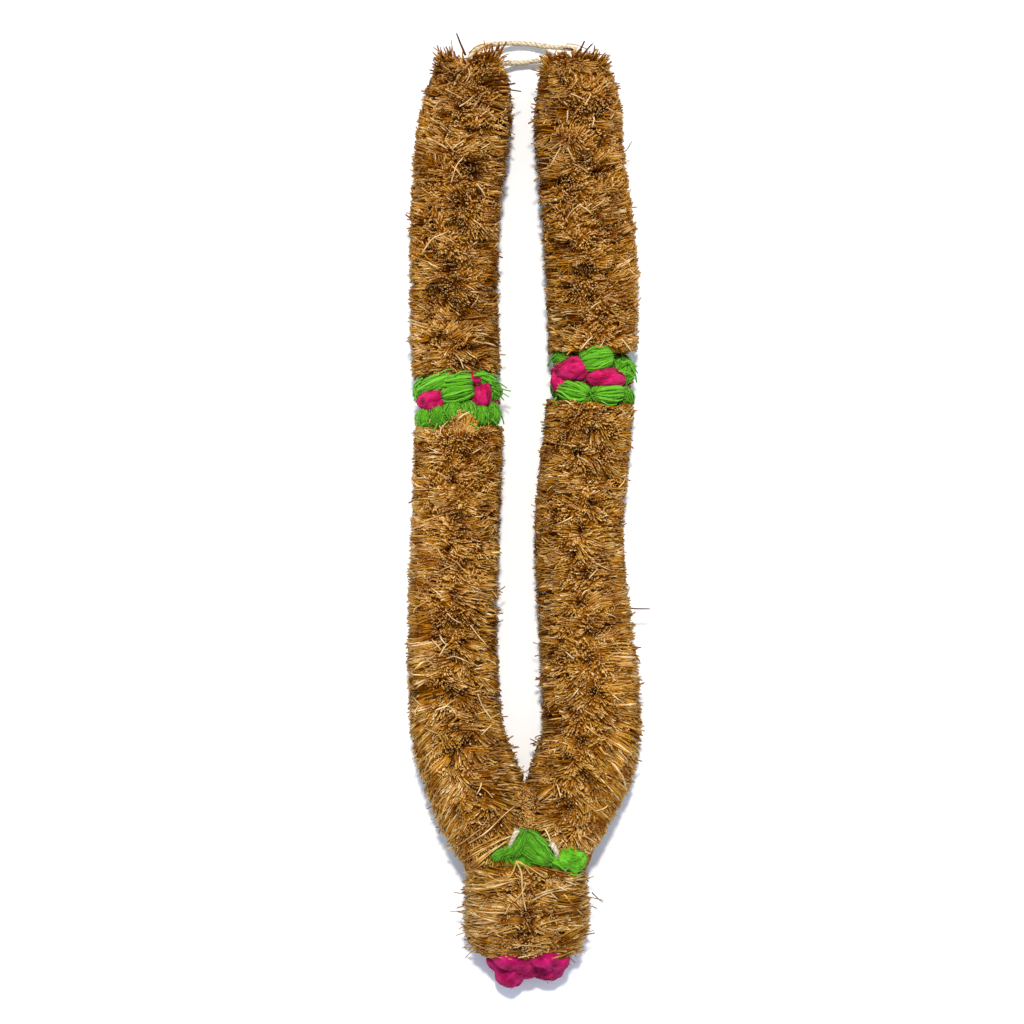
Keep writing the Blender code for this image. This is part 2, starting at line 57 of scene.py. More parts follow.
def addCamera():
    offset = [photo["size"] / 2 - photo["middlePixel"][0], photo["middlePixel"][1] - photo["size"] / 2]
    x, y = (value * photo["metresPerPixel"] for value in offset)
    bpy.ops.object.camera_add(location=(x, y, photo["sharpHeight"] + photo["distance"]), rotation=(0, 0, 0))
    cam = bpy.context.object
    cam.name = "photoCamera"
    cam.data.sensor_width = 36
    cam.data.lens = 36 * photo["distance"] / (photo["size"] * photo["metresPerPixel"])
    cam.data.clip_start = 0.05
    cam.data.clip_end = 20
    bpy.context.scene.camera = cam


studio = {
    "sun": {"strength": 3.1, "softness": 5, "tilt": 25, "towards": 180, "colour": (1.0, 0.94, 0.87)},
    "sky": {"strength": 0.84, "colour": (0.72, 0.83, 1.0)},
    "floor": {"size": 6.0, "colour": (0.9, 0.9, 0.9)},
}


def addStudio():
    sun = studio["sun"]
    tilt, towards = math.radians(sun["tilt"]), math.radians(sun["towards"])
    slant = math.sin(tilt)
    heading = Vector((math.sin(towards) * slant, math.cos(towards) * slant, -math.cos(tilt)))
    bpy.ops.object.light_add(type="SUN", location=(0, 0, 2))
    lamp = bpy.context.object
    lamp.name = "windowLight"
    lamp.rotation_euler = heading.to_track_quat("-Z", "Y").to_euler()
    lamp.data.energy = sun["strength"]
    lamp.data.angle = math.radians(sun["softness"])
    lamp.data.color = sun["colour"]
    sky = bpy.data.worlds.new("paleRoom")
    sky.use_nodes = True
    backdrop = sky.node_tree.nodes["Background"]
    backdrop.inputs["Color"].default_value = (*studio["sky"]["colour"], 1)
    backdrop.inputs["Strength"].default_value = studio["sky"]["strength"]
    bpy.context.scene.world = sky
    bpy.context.scene.view_settings.view_transform = "Standard"
    bpy.ops.mesh.primitive_plane_add(size=studio["floor"]["size"], location=(0, 0, 0))
    floor = bpy.context.object
    floor.name = "floor"
    finish = bpy.data.materials.new("paleFloor")
    finish.use_nodes = True
    shader = finish.node_tree.nodes["Principled BSDF"]
    shader.inputs["Base Color"].default_value = (*studio["floor"]["colour"], 1)
    shader.inputs["Roughness"].default_value = 0.9
    shader.inputs["Specular IOR Level"].default_value = 0.1
    floor.data.materials.append(finish)


# Finishes

def newMaterial(name):
    made = bpy.data.materials.new(name)
    made.use_nodes = True
    return made, made.node_tree, made.node_tree.nodes["Principled BSDF"]


def addNode(tree, kind, links=None, **values):
    node = tree.nodes.new(kind)
    for key, value in values.items():
        setattr(node, key, value)
    for socket, source in (links or {}).items():
        if isinstance(source, bpy.types.NodeSocket):
            tree.links.new(source, node.inputs[socket])
        else:
            node.inputs[socket].default_value = source
    return node


def fineNoise(tree, coords, scale, detail=3.0, roughness=0.55):
    return addNode(tree, "ShaderNodeTexNoise", {
        "Vector": coords, "Scale": scale, "Detail": detail, "Roughness": roughness,
    }).outputs["Fac"]


def remapped(tree, value, low, high, toLow, toHigh):
    return addNode(tree, "ShaderNodeMapRange", {
        "Value": value, "From Min": low, "From Max": high, "To Min": toLow, "To Max": toHigh,
    }).outputs["Result"]


def mixed(tree, factor, first, second, blend="MIX"):
    node = addNode(tree, "ShaderNodeMix", data_type="RGBA", blend_type=blend)
    for socket, source in ((0, factor), (6, first), (7, second)):
        if isinstance(source, bpy.types.NodeSocket):
            tree.links.new(source, node.inputs[socket])
        else:
            node.inputs[socket].default_value = source
    return node.outputs[2]


def summed(tree, first, second):
    return addNode(tree, "ShaderNodeMath", {0: first, 1: second}, operation="ADD").outputs[0]


def ramp(tree, value, stops):
    node = addNode(tree, "ShaderNodeValToRGB", {"Fac": value})
    marks = node.color_ramp.elements
    while len(marks) < len(stops):
        marks.new(0.5)
    for mark, (at, colour) in zip(marks, stops):
        mark.position = at
        mark.color = (*colour, 1)
    return node.outputs["Color"]


rootFinish = {
    "tones": [  # dark to pale roots
        (0.0, (0.1, 0.026, 0.0002)), (0.25, (0.27, 0.095, 0.002)), (0.5, (0.48, 0.215, 0.012)),
        (0.75, (0.69, 0.395, 0.088)), (1.0, (0.97, 0.74, 0.42)),
    ],
    "buriedShadeAndDust": (0.84, 0.62, 0.26),  # painted shade and dust on the tied end, deep in the bunch
    "cutEnd": (0.86, 0.58, 0.24),
    "roughness": 0.6,
    "warm": (0.88, 0.78, 0.66), "warmBetween": (-0.2, 0.25),  # heights in the photo, in metres
    "cluster": (0.53, 0.37, 0.22),  # how the darker patches of roots are shaded
    "pendantShade": 0.85, "pendantBetween": (-0.232, -0.218),
    # packed root ends, darker towards the edges of each cell: painted shade in the gaps
    "packedEndsAndGapShade": [(0.15, (0.46, 0.2, 0.02)), (0.45, (0.27, 0.1, 0.006)), (0.8, (0.13, 0.042, 0.001))],
}


def makeRootMaterial():
    made, tree, shader = newMaterial("vetiverRoot")
    coords = addNode(tree, "ShaderNodeTexCoord").outputs["Object"]
    tone = addNode(tree, "ShaderNodeAttribute", attribute_name="tone").outputs["Fac"]
    along = addNode(tree, "ShaderNodeAttribute", attribute_name="along").outputs["Fac"]
    matted = addNode(tree, "ShaderNodeAttribute", attribute_name="matted").outputs["Fac"]
    skin = fineNoise(tree, coords, 900, 4)
    total = summed(tree, tone, remapped(tree, skin, 0.3, 0.7, -0.09, 0.09))
    colour = ramp(tree, total, rootFinish["tones"])
    # the strands grow redder and darker towards the top of the loop
    height = addNode(tree, "ShaderNodeSeparateXYZ", {"Vector": coords}).outputs["Y"]
    patches = summed(tree, remapped(tree, fineNoise(tree, coords, 30, 3), 0.35, 0.65, -0.3, 0.3),
                     remapped(tree, height, *rootFinish["warmBetween"], 0.1, 0.75))
    warm = mixed(tree, 1.0, colour, (*rootFinish["warm"], 1), "MULTIPLY")
    colour = mixed(tree, remapped(tree, patches, 0, 1, 0, 1), colour, warm)
    clusters = remapped(tree, fineNoise(tree, coords, 85, 2, 0.5), 0.36, 0.56, 0, 1)
    clustered = mixed(tree, 1.0, colour, (*rootFinish["cluster"], 1), "MULTIPLY")
    colour = mixed(tree, clusters, clustered, colour)
    shade = remapped(tree, height, *rootFinish["pendantBetween"], rootFinish["pendantShade"], 1)
    colour = mixed(tree, 1.0, colour, shade, "MULTIPLY")
    # painted shade and dust: the roots darken towards their tied ends, deep in the bunch
    buriedShadeAndDust = mixed(tree, remapped(tree, along, 0.35, 0.85, 0, 1), (*rootFinish["buriedShadeAndDust"], 1), (1, 1, 1, 1))
    colour = mixed(tree, 1.0, colour, buriedShadeAndDust, "MULTIPLY")
    colour = mixed(tree, remapped(tree, along, 0.94, 1.0, 0.0, 0.42), colour, (*rootFinish["cutEnd"], 1))
    # the matted mass under the tips: cells of packed root ends, with painted shade darkening the gaps between
    # them
    cells = addNode(tree, "ShaderNodeTexVoronoi", {"Vector": coords, "Scale": 640.0, "Randomness": 1.0})
    packedEndsAndGapShade = ramp(tree, cells.outputs["Distance"], rootFinish["packedEndsAndGapShade"])
    colour = mixed(tree, matted, colour, packedEndsAndGapShade)
    tree.links.new(colour, shader.inputs["Base Color"])
    shader.inputs["Roughness"].default_value = rootFinish["roughness"]
    shader.inputs["Specular IOR Level"].default_value = 0.02
    lumps = mixed(tree, matted, skin, remapped(tree, cells.outputs["Distance"], 0, 1, 1, 0))
    bump = addNode(tree, "ShaderNodeBump", {"Strength": 0.5, "Distance": 0.0006, "Height": lumps})
    tree.links.new(bump.outputs["Normal"], shader.inputs["Normal"])
    return made


woolFinish = {
    # dark, middle and pale wool; the dark end is also painted shade in folds and grooves, the pale end
    # painted light on crests
    "green": {"fold": (0.042, 0.18, 0.002), "middle": (0.148, 0.49, 0.018), "crestLightAndPaleWool": (0.34, 0.77, 0.11)},
    "magenta": {"fold": (0.22, 0.001, 0.028), "middle": (0.5, 0.005, 0.08), "crestLightAndPaleWool": (0.72, 0.024, 0.15)},
    "bluerBelow": -0.265,  # the tassel's magenta is bluer than the bands'
    "bluer": (0.86, 0.95, 1.2),
    "stretch": (70, 5, 1),  # fibres are drawn out from end to end of a puff
    "marks": (0.1, 0.5, 0.95),
}


def makeWoolMaterial(name, colours):
    made, tree, shader = newMaterial(name)
    coords = addNode(tree, "ShaderNodeTexCoord").outputs
    tone = addNode(tree, "ShaderNodeAttribute", attribute_name="tone").outputs["Fac"]
    stretched = addNode(tree, "ShaderNodeMapping", {
        "Vector": coords["UV"], "Scale": woolFinish["stretch"],
    }).outputs["Vector"]
    fibres = addNode(tree, "ShaderNodeTexNoise", {
        "Vector": stretched, "Scale": 1.0, "Detail": 4.0, "Roughness": 0.65, "Distortion": 0.6,
    }).outputs["Fac"]
    tufts = fineNoise(tree, coords["Object"], 1400, 3, 0.7)
    fine = remapped(tree, fibres, 0.3, 0.7, -0.22, 0.22)
    shift = summed(tree, fine, remapped(tree, tufts, 0.3, 0.7, -0.14, 0.14))
    stops = list(zip(woolFinish["marks"], (colours["fold"], colours["middle"], colours["crestLightAndPaleWool"])))
    colour = ramp(tree, summed(tree, tone, shift), stops)
    height = addNode(tree, "ShaderNodeSeparateXYZ", {"Vector": coords["Object"]}).outputs["Y"]
    low = woolFinish["bluerBelow"]
    bluer = mixed(tree, 1.0, colour, (*woolFinish["bluer"], 1), "MULTIPLY")
    colour = mixed(tree, remapped(tree, height, low - 0.005, low + 0.005, 1, 0), colour, bluer)
    tree.links.new(colour, shader.inputs["Base Color"])
    shader.inputs["Roughness"].default_value = 0.92
    shader.inputs["Specular IOR Level"].default_value = 0.06
    shader.inputs["Sheen Weight"].default_value = 0.05
    shader.inputs["Sheen Roughness"].default_value = 0.5
    relief = summed(tree, fibres, tufts)
    bump = addNode(tree, "ShaderNodeBump", {"Strength": 0.8, "Distance": 0.0006, "Height": relief})
    tree.links.new(bump.outputs["Normal"], shader.inputs["Normal"])
    return made


twineTones = [(0.0, (0.2, 0.145, 0.07)), (0.45, (0.54, 0.43, 0.26)), (1.0, (0.97, 0.87, 0.64))]


def makeTwineMaterial():
    made, tree, shader = newMaterial("juteTwine")
    coords = addNode(tree, "ShaderNodeTexCoord").outputs["Object"]
    tone = addNode(tree, "ShaderNodeAttribute", attribute_name="tone").outputs["Fac"]
    fibres = fineNoise(tree, coords, 1500, 4, 0.65)
    colour = ramp(tree, summed(tree, tone, remapped(tree, fibres, 0.3, 0.7, -0.2, 0.2)), twineTones)
    tree.links.new(colour, shader.inputs["Base Color"])
    shader.inputs["Roughness"].default_value = 0.85
    shader.inputs["Specular IOR Level"].default_value = 0.15
    bump = addNode(tree, "ShaderNodeBump", {"Strength": 0.6, "Distance": 0.0003, "Height": fibres})
    tree.links.new(bump.outputs["Normal"], shader.inputs["Normal"])
    return made


# The lines that the strands follow, as the solids have them

coreHeight = 21 * mm
jointX = 2.9 * mm
pendantTop, pendantBottom = -222 * mm, -281 * mm
# Routes are in mm, from the top down. Swells are in mm along the line: middle, half length, and how much
# wider the inner and outer sides are. Corners are pixels, and the way in from the cut there.
strands = {
    "left": {
        "route": [
            (-33.9, 298), (-34.6, 274), (-40.3, 236), (-43.2, 191), (-43.2, 127), (-41.0, 74), (-41.0, 37),
            (-42.9, -14), (-44.8, -72), (-44.2, -117), (-41.0, -143), (-34.0, -166), (-26.0, -188),
            (-20.4, -207), (-17.6, -221.5),
        ],
        "halfWidth": 28.6 * mm, "rise": 26 * mm, "endShares": (0.62, 0.86), "tapers": (46 * mm, 34 * mm),
        "bandAt": 223.5 * mm, "inward": 1, "combed": 0.72, "combedAtEnd": 0.5, "topAt": 292 * mm,
        "risesAt": 90 * mm, "rises": 4 * mm,
        "swells": [(52, 42, 0.11, 0.0), (440, 60, 0.08, 0.0), (474, 20, 0.1, 0.0)],
        "cutBelow": 1 * mm, "sweep": 16 * mm, "corners": [((455.5, 851), (0.85, 0.525))],
    },
    "right": {
        "route": [
            (33.3, 298), (35.2, 274), (37.1, 236), (41.6, 191), (44.8, 140), (44.8, 90), (40.3, 40),
            (36.5, -8), (39.0, -53), (42.9, -104), (43.5, -136), (39.0, -160), (32.2, -182), (26.0, -203),
            (22.4, -221.5),
        ],
        "halfWidth": 28.6 * mm, "rise": 26 * mm, "endShares": (0.62, 0.86), "tapers": (46 * mm, 34 * mm),
        "bandAt": 208.5 * mm, "inward": -1, "combed": 0.72, "combedAtEnd": 0.5, "topAt": 291.5 * mm,
        "risesAt": 120 * mm, "rises": 6 * mm,
        "swells": [(135, 40, 0.02, 0.07), (425, 62, 0.1, 0.15), (470, 20, 0.1, 0.04)],
        "cutBelow": 1 * mm, "sweep": 11 * mm,
        "corners": [((618, 808), (-0.875, 0.484)), ((592, 848.5), (-0.686, 0.726))],
    },
    "pendant": {
        "route": [(2.9, -222), (2.9, -281)],
        "halfWidth": 40.2 * mm, "rise": 26.5 * mm, "endShares": (0.97, 0.76), "tapers": (22 * mm, 22 * mm),
        "combed": 0.5, "combedAtEnd": 0.5, "topAt": pendantTop + 4 * mm,
    },
}
bandHalfLength = 16.5 * mm
bunchesAbove, bunchesBelow = 4, 5


def smoothPath(points, step):
    p = np.array(points, float)
    p = np.vstack([2 * p[0] - p[1], p, 2 * p[-1] - p[-2]])
    t = np.linspace(0, 1, 40, endpoint=False)[:, None]
    spans = [
        0.5 * (2 * b + (c - a) * t + (2 * a - 5 * b + 4 * c - d) * t**2 + (3 * b - a - 3 * c + d) * t**3)
        for a, b, c, d in zip(p, p[1:], p[2:], p[3:])
    ]
    fine = np.vstack([*spans, p[-2:-1]])
    gone = np.concatenate([[0], np.cumsum(np.linalg.norm(np.diff(fine, axis=0), axis=1))])
    at = np.linspace(0, gone[-1], max(2, round(gone[-1] / step) + 1))
    return np.stack([np.interp(at, gone, fine[:, k]) for k in range(p.shape[1])], axis=1)


def coreLine(settings):
    flat = smoothPath(np.array(settings["route"]) * mm, mm)
    points = np.column_stack([flat, np.full(len(flat), coreHeight)])
    gone = np.concatenate([[0], np.cumsum(np.linalg.norm(np.diff(points, axis=0), axis=1))])
    picks = np.clip(np.arange(len(points)), 4, len(points) - 5)
    ahead = points[picks + 4] - points[picks - 4]
    ahead /= np.linalg.norm(ahead, axis=1)[:, None]
    return {**settings, "points": points, "gone": gone, "ahead": ahead, "length": gone[-1]}


def aheadOn(line, s):
    return line["ahead"][np.clip(np.searchsorted(line["gone"], s), 0, len(line["gone"]) - 1)]


def placeOn(line, s):
    s = np.asarray(s, float)
    inside = np.clip(s, 0, line["length"])
    point = np.stack([np.interp(inside, line["gone"], line["points"][:, k]) for k in range(3)], axis=-1)
    return point + aheadOn(line, s) * (s - inside)[..., None]


def sideOn(line, s):
    ahead = aheadOn(line, s)
    return np.stack([-ahead[..., 1], ahead[..., 0], np.zeros_like(ahead[..., 0])], axis=-1)


def reachOn(line, s, angle):  # how far the trimmed tips stand from the core
    share = np.ones_like(np.asarray(s, float))
    for at, endShare, length in zip((s, line["length"] - s), line["endShares"], line["tapers"]):
        t = np.clip(at / length, 0, 1)
        share = share * (endShare + (1 - endShare) * t * (2 - t))
    wide = line["halfWidth"] * share
    inner = np.cos(angle) * line.get("inward", 1)
    for middle, length, innerShare, outerShare in line.get("swells", ()):
        swell = np.exp(-(((s - middle * mm) / (length * mm)) ** 2))
        wide = wide * (1 + np.where(inner > 0, innerShare, outerShare) * swell)
    high = line["rise"] * (0.4 + 0.6 * share)
    return 1 / np.hypot(np.cos(angle) / wide, np.sin(angle) / high)


def outOn(line, s, angle):
    return sideOn(line, s) * np.cos(angle)[..., None] + up * np.sin(angle)[..., None]


# Meshes out of many small strands

def makeMesh(name, finish, batches):
    # every batch is (points, sets of faces with equal corners, tone, along, matted)
    mesh = bpy.data.meshes.new(name)
    points = np.vstack([batch[0] for batch in batches])
    mesh.vertices.add(len(points))
    mesh.vertices.foreach_set("co", points.astype(np.float32).ravel())
    corners, starts, count, offset = [], [], 0, 0
    for batch in batches:
        for faces in batch[1]:
            starts.append(count + np.arange(len(faces)) * faces.shape[1])
            corners.append((faces + offset).ravel())
            count += faces.size
        offset += len(batch[0])
    mesh.loops.add(count)
    mesh.loops.foreach_set("vertex_index", np.concatenate(corners).astype(np.int32))
    starts = np.concatenate(starts).astype(np.int32)
    mesh.polygons.add(len(starts))
    mesh.polygons.foreach_set("loop_start", starts)
    mesh.update(calc_edges=True)
    mesh.validate()
    for label, column in (("tone", 2), ("along", 3), ("matted", 4)):
        values = np.concatenate([np.broadcast_to(batch[column], len(batch[0])) for batch in batches])
        mesh.attributes.new(label, "FLOAT", "POINT").data.foreach_set("value", values.astype(np.float32))
    mesh.polygons.foreach_set("use_smooth", np.ones(len(starts), bool))
    obj = bpy.data.objects.new(name, mesh)
    bpy.context.collection.objects.link(obj)
    mesh.materials.append(finish)
    return obj


def modelStrand(sides, levels):
    # one root or yarn along +Z from 0 to 1, closed at both ends
    bpy.ops.object.select_all(action="DESELECT")
    bpy.ops.mesh.primitive_circle_add(vertices=sides, radius=1, fill_type="NGON", location=(0, 0, 0))
    obj = bpy.context.object
    bpy.ops.object.mode_set(mode="EDIT")
    for low, high in zip(levels, levels[1:]):
        bpy.ops.mesh.extrude_region_move(TRANSFORM_OT_translate={"value": (0, 0, high - low)})
    bpy.ops.mesh.select_all(action="SELECT")
    bpy.ops.mesh.normals_make_consistent(inside=False)
    bpy.ops.object.mode_set(mode="OBJECT")
    points = np.array([tuple(vert.co) for vert in obj.data.vertices])
    faces = [list(face.vertices) for face in obj.data.polygons]
    bpy.data.objects.remove(obj)
    level = np.abs(points[:, 2:3] - np.array(levels)[None]).argmin(axis=1)
    sets = [np.array([f for f in faces if len(f) == size]) for size in sorted({len(f) for f in faces})]
    return {"points": points, "level": level, "levels": np.array(levels), "faces": sets}


stiffRoot = modelStrand(3, (0, 1))
straightRoot = modelStrand(3, (0, 0.6, 1))
bentRoot = modelStrand(3, (0, 0.55, 0.82, 1))
longRoot = modelStrand(3, (0, 0.34, 0.68, 1))
yarnStrand = modelStrand(4, (0, 0.12, 0.36, 0.64, 0.88, 1))
fineYarn = modelStrand(3, (0, 0.22, 0.5, 0.78, 1))
fuzzStrand = modelStrand(3, (0, 1))


def unit(v):
    return v / np.maximum(np.linalg.norm(v, axis=-1, keepdims=True), 1e-9)


def layAlong(shape, path, radius, tone, alongFrom=0.0):
    # path holds the strand's middle at each level: (strands, levels, 3)
    path = np.concatenate([path[..., :2], np.maximum(path[..., 2:], radius[..., None])], axis=-1)
    count, size = len(path), len(shape["points"])
    ahead = np.empty_like(path)
    ahead[:, 1:-1] = path[:, 2:] - path[:, :-2]
    ahead[:, 0], ahead[:, -1] = path[:, 1] - path[:, 0], path[:, -1] - path[:, -2]
    ahead = unit(ahead)
    whole = unit(path[:, -1] - path[:, 0])
    aside = np.where(np.abs(whole[:, 2:3]) < 0.9, up, np.array([1.0, 0, 0]))[:, None]
    first = unit(np.cross(ahead, np.broadcast_to(aside, ahead.shape)))
    second = np.cross(ahead, first)
    level, local = shape["level"], shape["points"]
    girth = radius[:, level, None]
    points = path[:, level] + (first[:, level] * local[:, 0][None, :, None]
                               - second[:, level] * local[:, 1][None, :, None]) * girth
    shifts = (np.arange(count) * size)[:, None, None]
    faceSets = [(faces[None] + shifts).reshape(-1, faces.shape[1]) for faces in shape["faces"]]
    along = np.broadcast_to(alongFrom + (1 - alongFrom) * shape["levels"][level], (count, size)).ravel()
    return points.reshape(-1, 3), faceSets, np.repeat(tone, size), along, 0.0


def curvedPaths(shape, base, tip, bow, hook):
    t = shape["levels"][None, :, None]
    path = base[:, None] + (tip - base)[:, None] * t + bow[:, None] * 4 * t * (1 - t)
    return path + hook[:, None] * np.clip((t - 0.5) / 0.5, 0, 1) ** 1.6


def tubeBatch(rings, tone, along, matted=0.0):
    # a closed skin over rings of points
    count, sides = rings.shape[:2]
    k = np.arange(sides)
    n = (k + 1) % sides
    quads = np.concatenate([
        np.stack([j * sides + k, j * sides + n, (j + 1) * sides + n, (j + 1) * sides + k], axis=1)
        for j in range(count - 1)
    ])
    points = np.vstack([rings.reshape(-1, 3), rings[0].mean(axis=0), rings[-1].mean(axis=0)])
    foot, head = count * sides, count * sides + 1
    tris = np.concatenate([
        np.stack([n, k, np.full(sides, foot)], axis=1),
        np.stack([(count - 1) * sides + k, (count - 1) * sides + n, np.full(sides, head)], axis=1),
    ])
    spread = [
        np.concatenate([np.broadcast_to(v, (count, sides)).ravel(), np.full(2, np.mean(v))])
        for v in (tone, along)
    ]
    return points, [tris, quads], spread[0], spread[1], matted


# The root brushes

brush = {
    "rootsPerSquareMm": 0.4,
    "sparseBelow": 0.26,  # the share of them that grows on the side that lies on the floor
    "whorl": 16 * mm,  # one tied whorl of roots
    "clump": 5.0 * mm,  # roots lean together in clumps of about this width
    "clumpPull": (0.2, 0.42),  # on the top and on the sides
    "clumpShift": 0.6 * mm, "clumpRelief": 0.036, "clumpTone": 0.09,
    "tuft": 11 * mm, "tuftTurn": 0.32, "tuftSlope": 3.4 * mm,  # and their feet in larger tufts
    "footSpread": 0.72,  # how much closer together they are tied than they end
    "whorlShift": 1.5 * mm,
    "ragged": 0.018, "strays": 0.004,
    "coreShare": 0.78, "baseShare": 0.5,
    "combOver": 110 * mm,  # the length over which the strands' last roots are combed harder
    "thick": 0.5 * mm, "thin": 0.47 * mm,
    "bow": 0.03, "hook": 0.035, "bent": 0.2, "curl": 0.15,
    "upright": 0.55,  # roots that lean less than this from the top are left straight
    "tone": 0.55, "toneSpread": 0.17,
    # how much darker the roots in the dark hollows are painted: painted shade
    "hollowDepth": 0.16, "hollowPaintedShade": 0.55,
    "floorGap": 0.5 * mm,
    "endCover": 10 * mm,  # how far the matted core stays behind the tops of the strands
    "raggedTop": 1.4 * mm,
    "looseOnes": 5,  # random pale roots that lie over each bunch
}
combing = {  # the long roots that lie over the sides
    "lateFrom": {"left": 320 * mm, "right": 350 * mm, "pendant": -60 * mm},
    "spacing": {"outer": 0.56 * mm, "inner": 0.75 * mm, "late": 0.27 * mm, "pendant": 0.32 * mm},
    "startsAt": {"early": (0.65, 1.15), "late": (0.15, 0.95)},
    "endsAt": (1.05, 1.6),
    "tuft": 4.6 * mm, "tuftWidth": 1.5 * mm,
    "tuftSlope": {"left": 3.0 * mm, "right": 3.0 * mm, "pendant": 4.2 * mm},
    "slope": {"left": 1.7 * mm, "right": 1.7 * mm, "pendant": 3.4 * mm},
    "relief": {"left": 0.02, "right": 0.02, "pendant": 0.034},
    "tone": 0.56, "toneSpread": 0.19, "tuftTone": {"left": 0.08, "right": 0.08, "pendant": 0.11},
    "thicker": 1.2, "bold": 0.07, "bolder": 1.45,
}


def girthOf(line):
    return 2 * math.pi * math.sqrt((line["halfWidth"] ** 2 + line["rise"] ** 2) / 2)


def spreadPlaces(count, start, end):
    # even but random-looking places on the unrolled skin of a brush: angle and distance
    k = np.arange(count)
    angle = 2 * math.pi * ((k * 0.7548777 + rng.random()) % 1)
    return angle, start + (end - start) * ((k * 0.5698403 + rng.random()) % 1)


def turnBetween(first, second):
    return (first - second + math.pi) % (2 * math.pi) - math.pi


def pointsOn(line, s, angle, share):
    return placeOn(line, s) + outOn(line, s, angle) * (reachOn(line, s, angle) * share)[:, None]


def pushedAside(angle, s, around, hollows):
    # the tips lean out of the dark hollows, and the few left in them are shorter
    depth = np.zeros(len(s))
    for hollowAngle, hollowS, size, stretch in hollows:
        away = np.stack([turnBetween(angle, hollowAngle) * around / stretch, s - hollowS])
        far = np.linalg.norm(away, axis=0)
        depth = np.maximum(depth, np.clip(1.9 - far / size, 0, 1))
        moved = np.where(far < 1.8 * size, 0.27 * size + far * (1.53 / 1.8), far)
        away = away * moved / np.maximum(far, 1e-6)
        angle, s = hollowAngle + away[0] * stretch / around, hollowS + away[1]
    return angle, s, depth


def growWhorl(line, start, end, lean, hollows):
    middle, half = (start + end) / 2, (end - start) / 2
    girth, around = girthOf(line), girthOf(line) / (2 * math.pi)
    angle, tipS = spreadPlaces(int(brush["rootsPerSquareMm"] * girth * (end - start) / mm**2), start, end)
    kept = np.clip(1 + (np.sin(angle) + 0.15) * 1.4, brush["sparseBelow"], 1)
    kept = kept * (1 - 0.4 * np.clip(np.abs(turnBetween(angle, math.pi / 2)) - 0.8, 0, 0.5))
    kept = rng.random(len(angle)) < kept
    angle, tipS = angle[kept], tipS[kept]
    count = len(angle)
    across = (tipS - middle) / half
    clumpAngle, clumpS = spreadPlaces(max(6, int(girth * (end - start) / brush["clump"] ** 2)), start, end)
    clumps = len(clumpAngle)
    clumpAngle = clumpAngle + rng.normal(0, 0.07, clumps)
    turn = turnBetween(angle[:, None], clumpAngle[None])
    nearest = np.hypot(turn * around, tipS[:, None] - clumpS[None]).argmin(axis=1)
    lying = np.clip(np.abs(turnBetween(angle, math.pi / 2)) - 0.5, 0, 1)
    pull = brush["clumpPull"][0] + (brush["clumpPull"][1] - brush["clumpPull"][0]) * lying
    tipAngle = angle - pull * turn[np.arange(count), nearest] + rng.normal(0, 0.02, count)
    tipS = tipS + pull * (clumpS[nearest] - tipS) + rng.normal(0, 0.5 * mm, count)
    tipS = tipS + rng.normal(0, brush["clumpShift"], clumps)[nearest]
    tipAngle, tipS, depth = pushedAside(tipAngle, tipS, around, hollows)
    tipS = tipS + lean(tipS, tipAngle)
    share = 1 + rng.normal(0, brush["clumpRelief"], clumps)[nearest] + rng.normal(0, brush["ragged"], count)
    share = np.clip(share, 0.86, 1.035) - 0.03 * np.abs(across) ** 3 - brush["hollowDepth"] * depth
    stray = rng.random(count) < brush["strays"]
    share = share + np.where(stray, rng.uniform(0.05, 0.14, count), 0)
    tuftAngle, tuftS = spreadPlaces(max(6, int(girth * (end - start) / brush["tuft"] ** 2)), start, end)
    away = turnBetween(angle[:, None], tuftAngle[None]) * around
    tuft = np.hypot(away, tipS[:, None] - tuftS[None]).argmin(axis=1)
    baseS = middle + across * half * brush["footSpread"] + rng.normal(0, brush["tuftSlope"], len(tuftS))[tuft]
    # roots leave the core nearer to the top than they end, and lie over to the sides
    late = np.clip((middle - line["length"] + brush["combOver"]) / brush["combOver"], 0, 1)
    combed = line["combed"] + (line["combedAtEnd"] - line["combed"]) * late
    top = turnBetween(tipAngle, math.pi / 2)
    combed = combed + (1 - combed) * np.clip((np.abs(top) - 1.5) / 1.2, 0, 1)
    tuftTurn = rng.normal(0, brush["tuftTurn"], len(tuftS))[tuft]
    baseAngle = math.pi / 2 + top * combed + tuftTurn * (np.abs(top) < 1.3)
    baseShare = brush["baseShare"] + (0.75 - brush["baseShare"]) * (1 - combed)
    base = pointsOn(line, baseS, baseAngle, baseShare)
    tip = pointsOn(line, tipS, tipAngle, share)
    midAngle = baseAngle + turnBetween(tipAngle, baseAngle) * 0.5
    over = pointsOn(line, (baseS + tipS) / 2, midAngle, 0.38 * baseShare + 0.6 * share)
    tone = brush["tone"] + rng.normal(0, 0.05) + rng.normal(0, brush["clumpTone"], clumps)[nearest]
    # painted shade: roots in the hollows get a darker tone
    tone = tone + rng.normal(0, brush["toneSpread"], count) - brush["hollowPaintedShade"] * depth
    tone = np.where(rng.random(count) < 0.05, rng.uniform(0.85, 1.0, count), tone)
    stiff = (np.abs(top) < brush["upright"]) | (np.abs(top) > 1.9)
    kind = np.where(stiff, 0, np.where(rng.random(count) < brush["bent"], 2, 1))
    return {
        "base": base, "tip": tip, "arch": over - (base + tip) / 2, "tone": np.clip(tone, 0, 1), "s": tipS,
        "stray": stray, "kind": kind,
    }


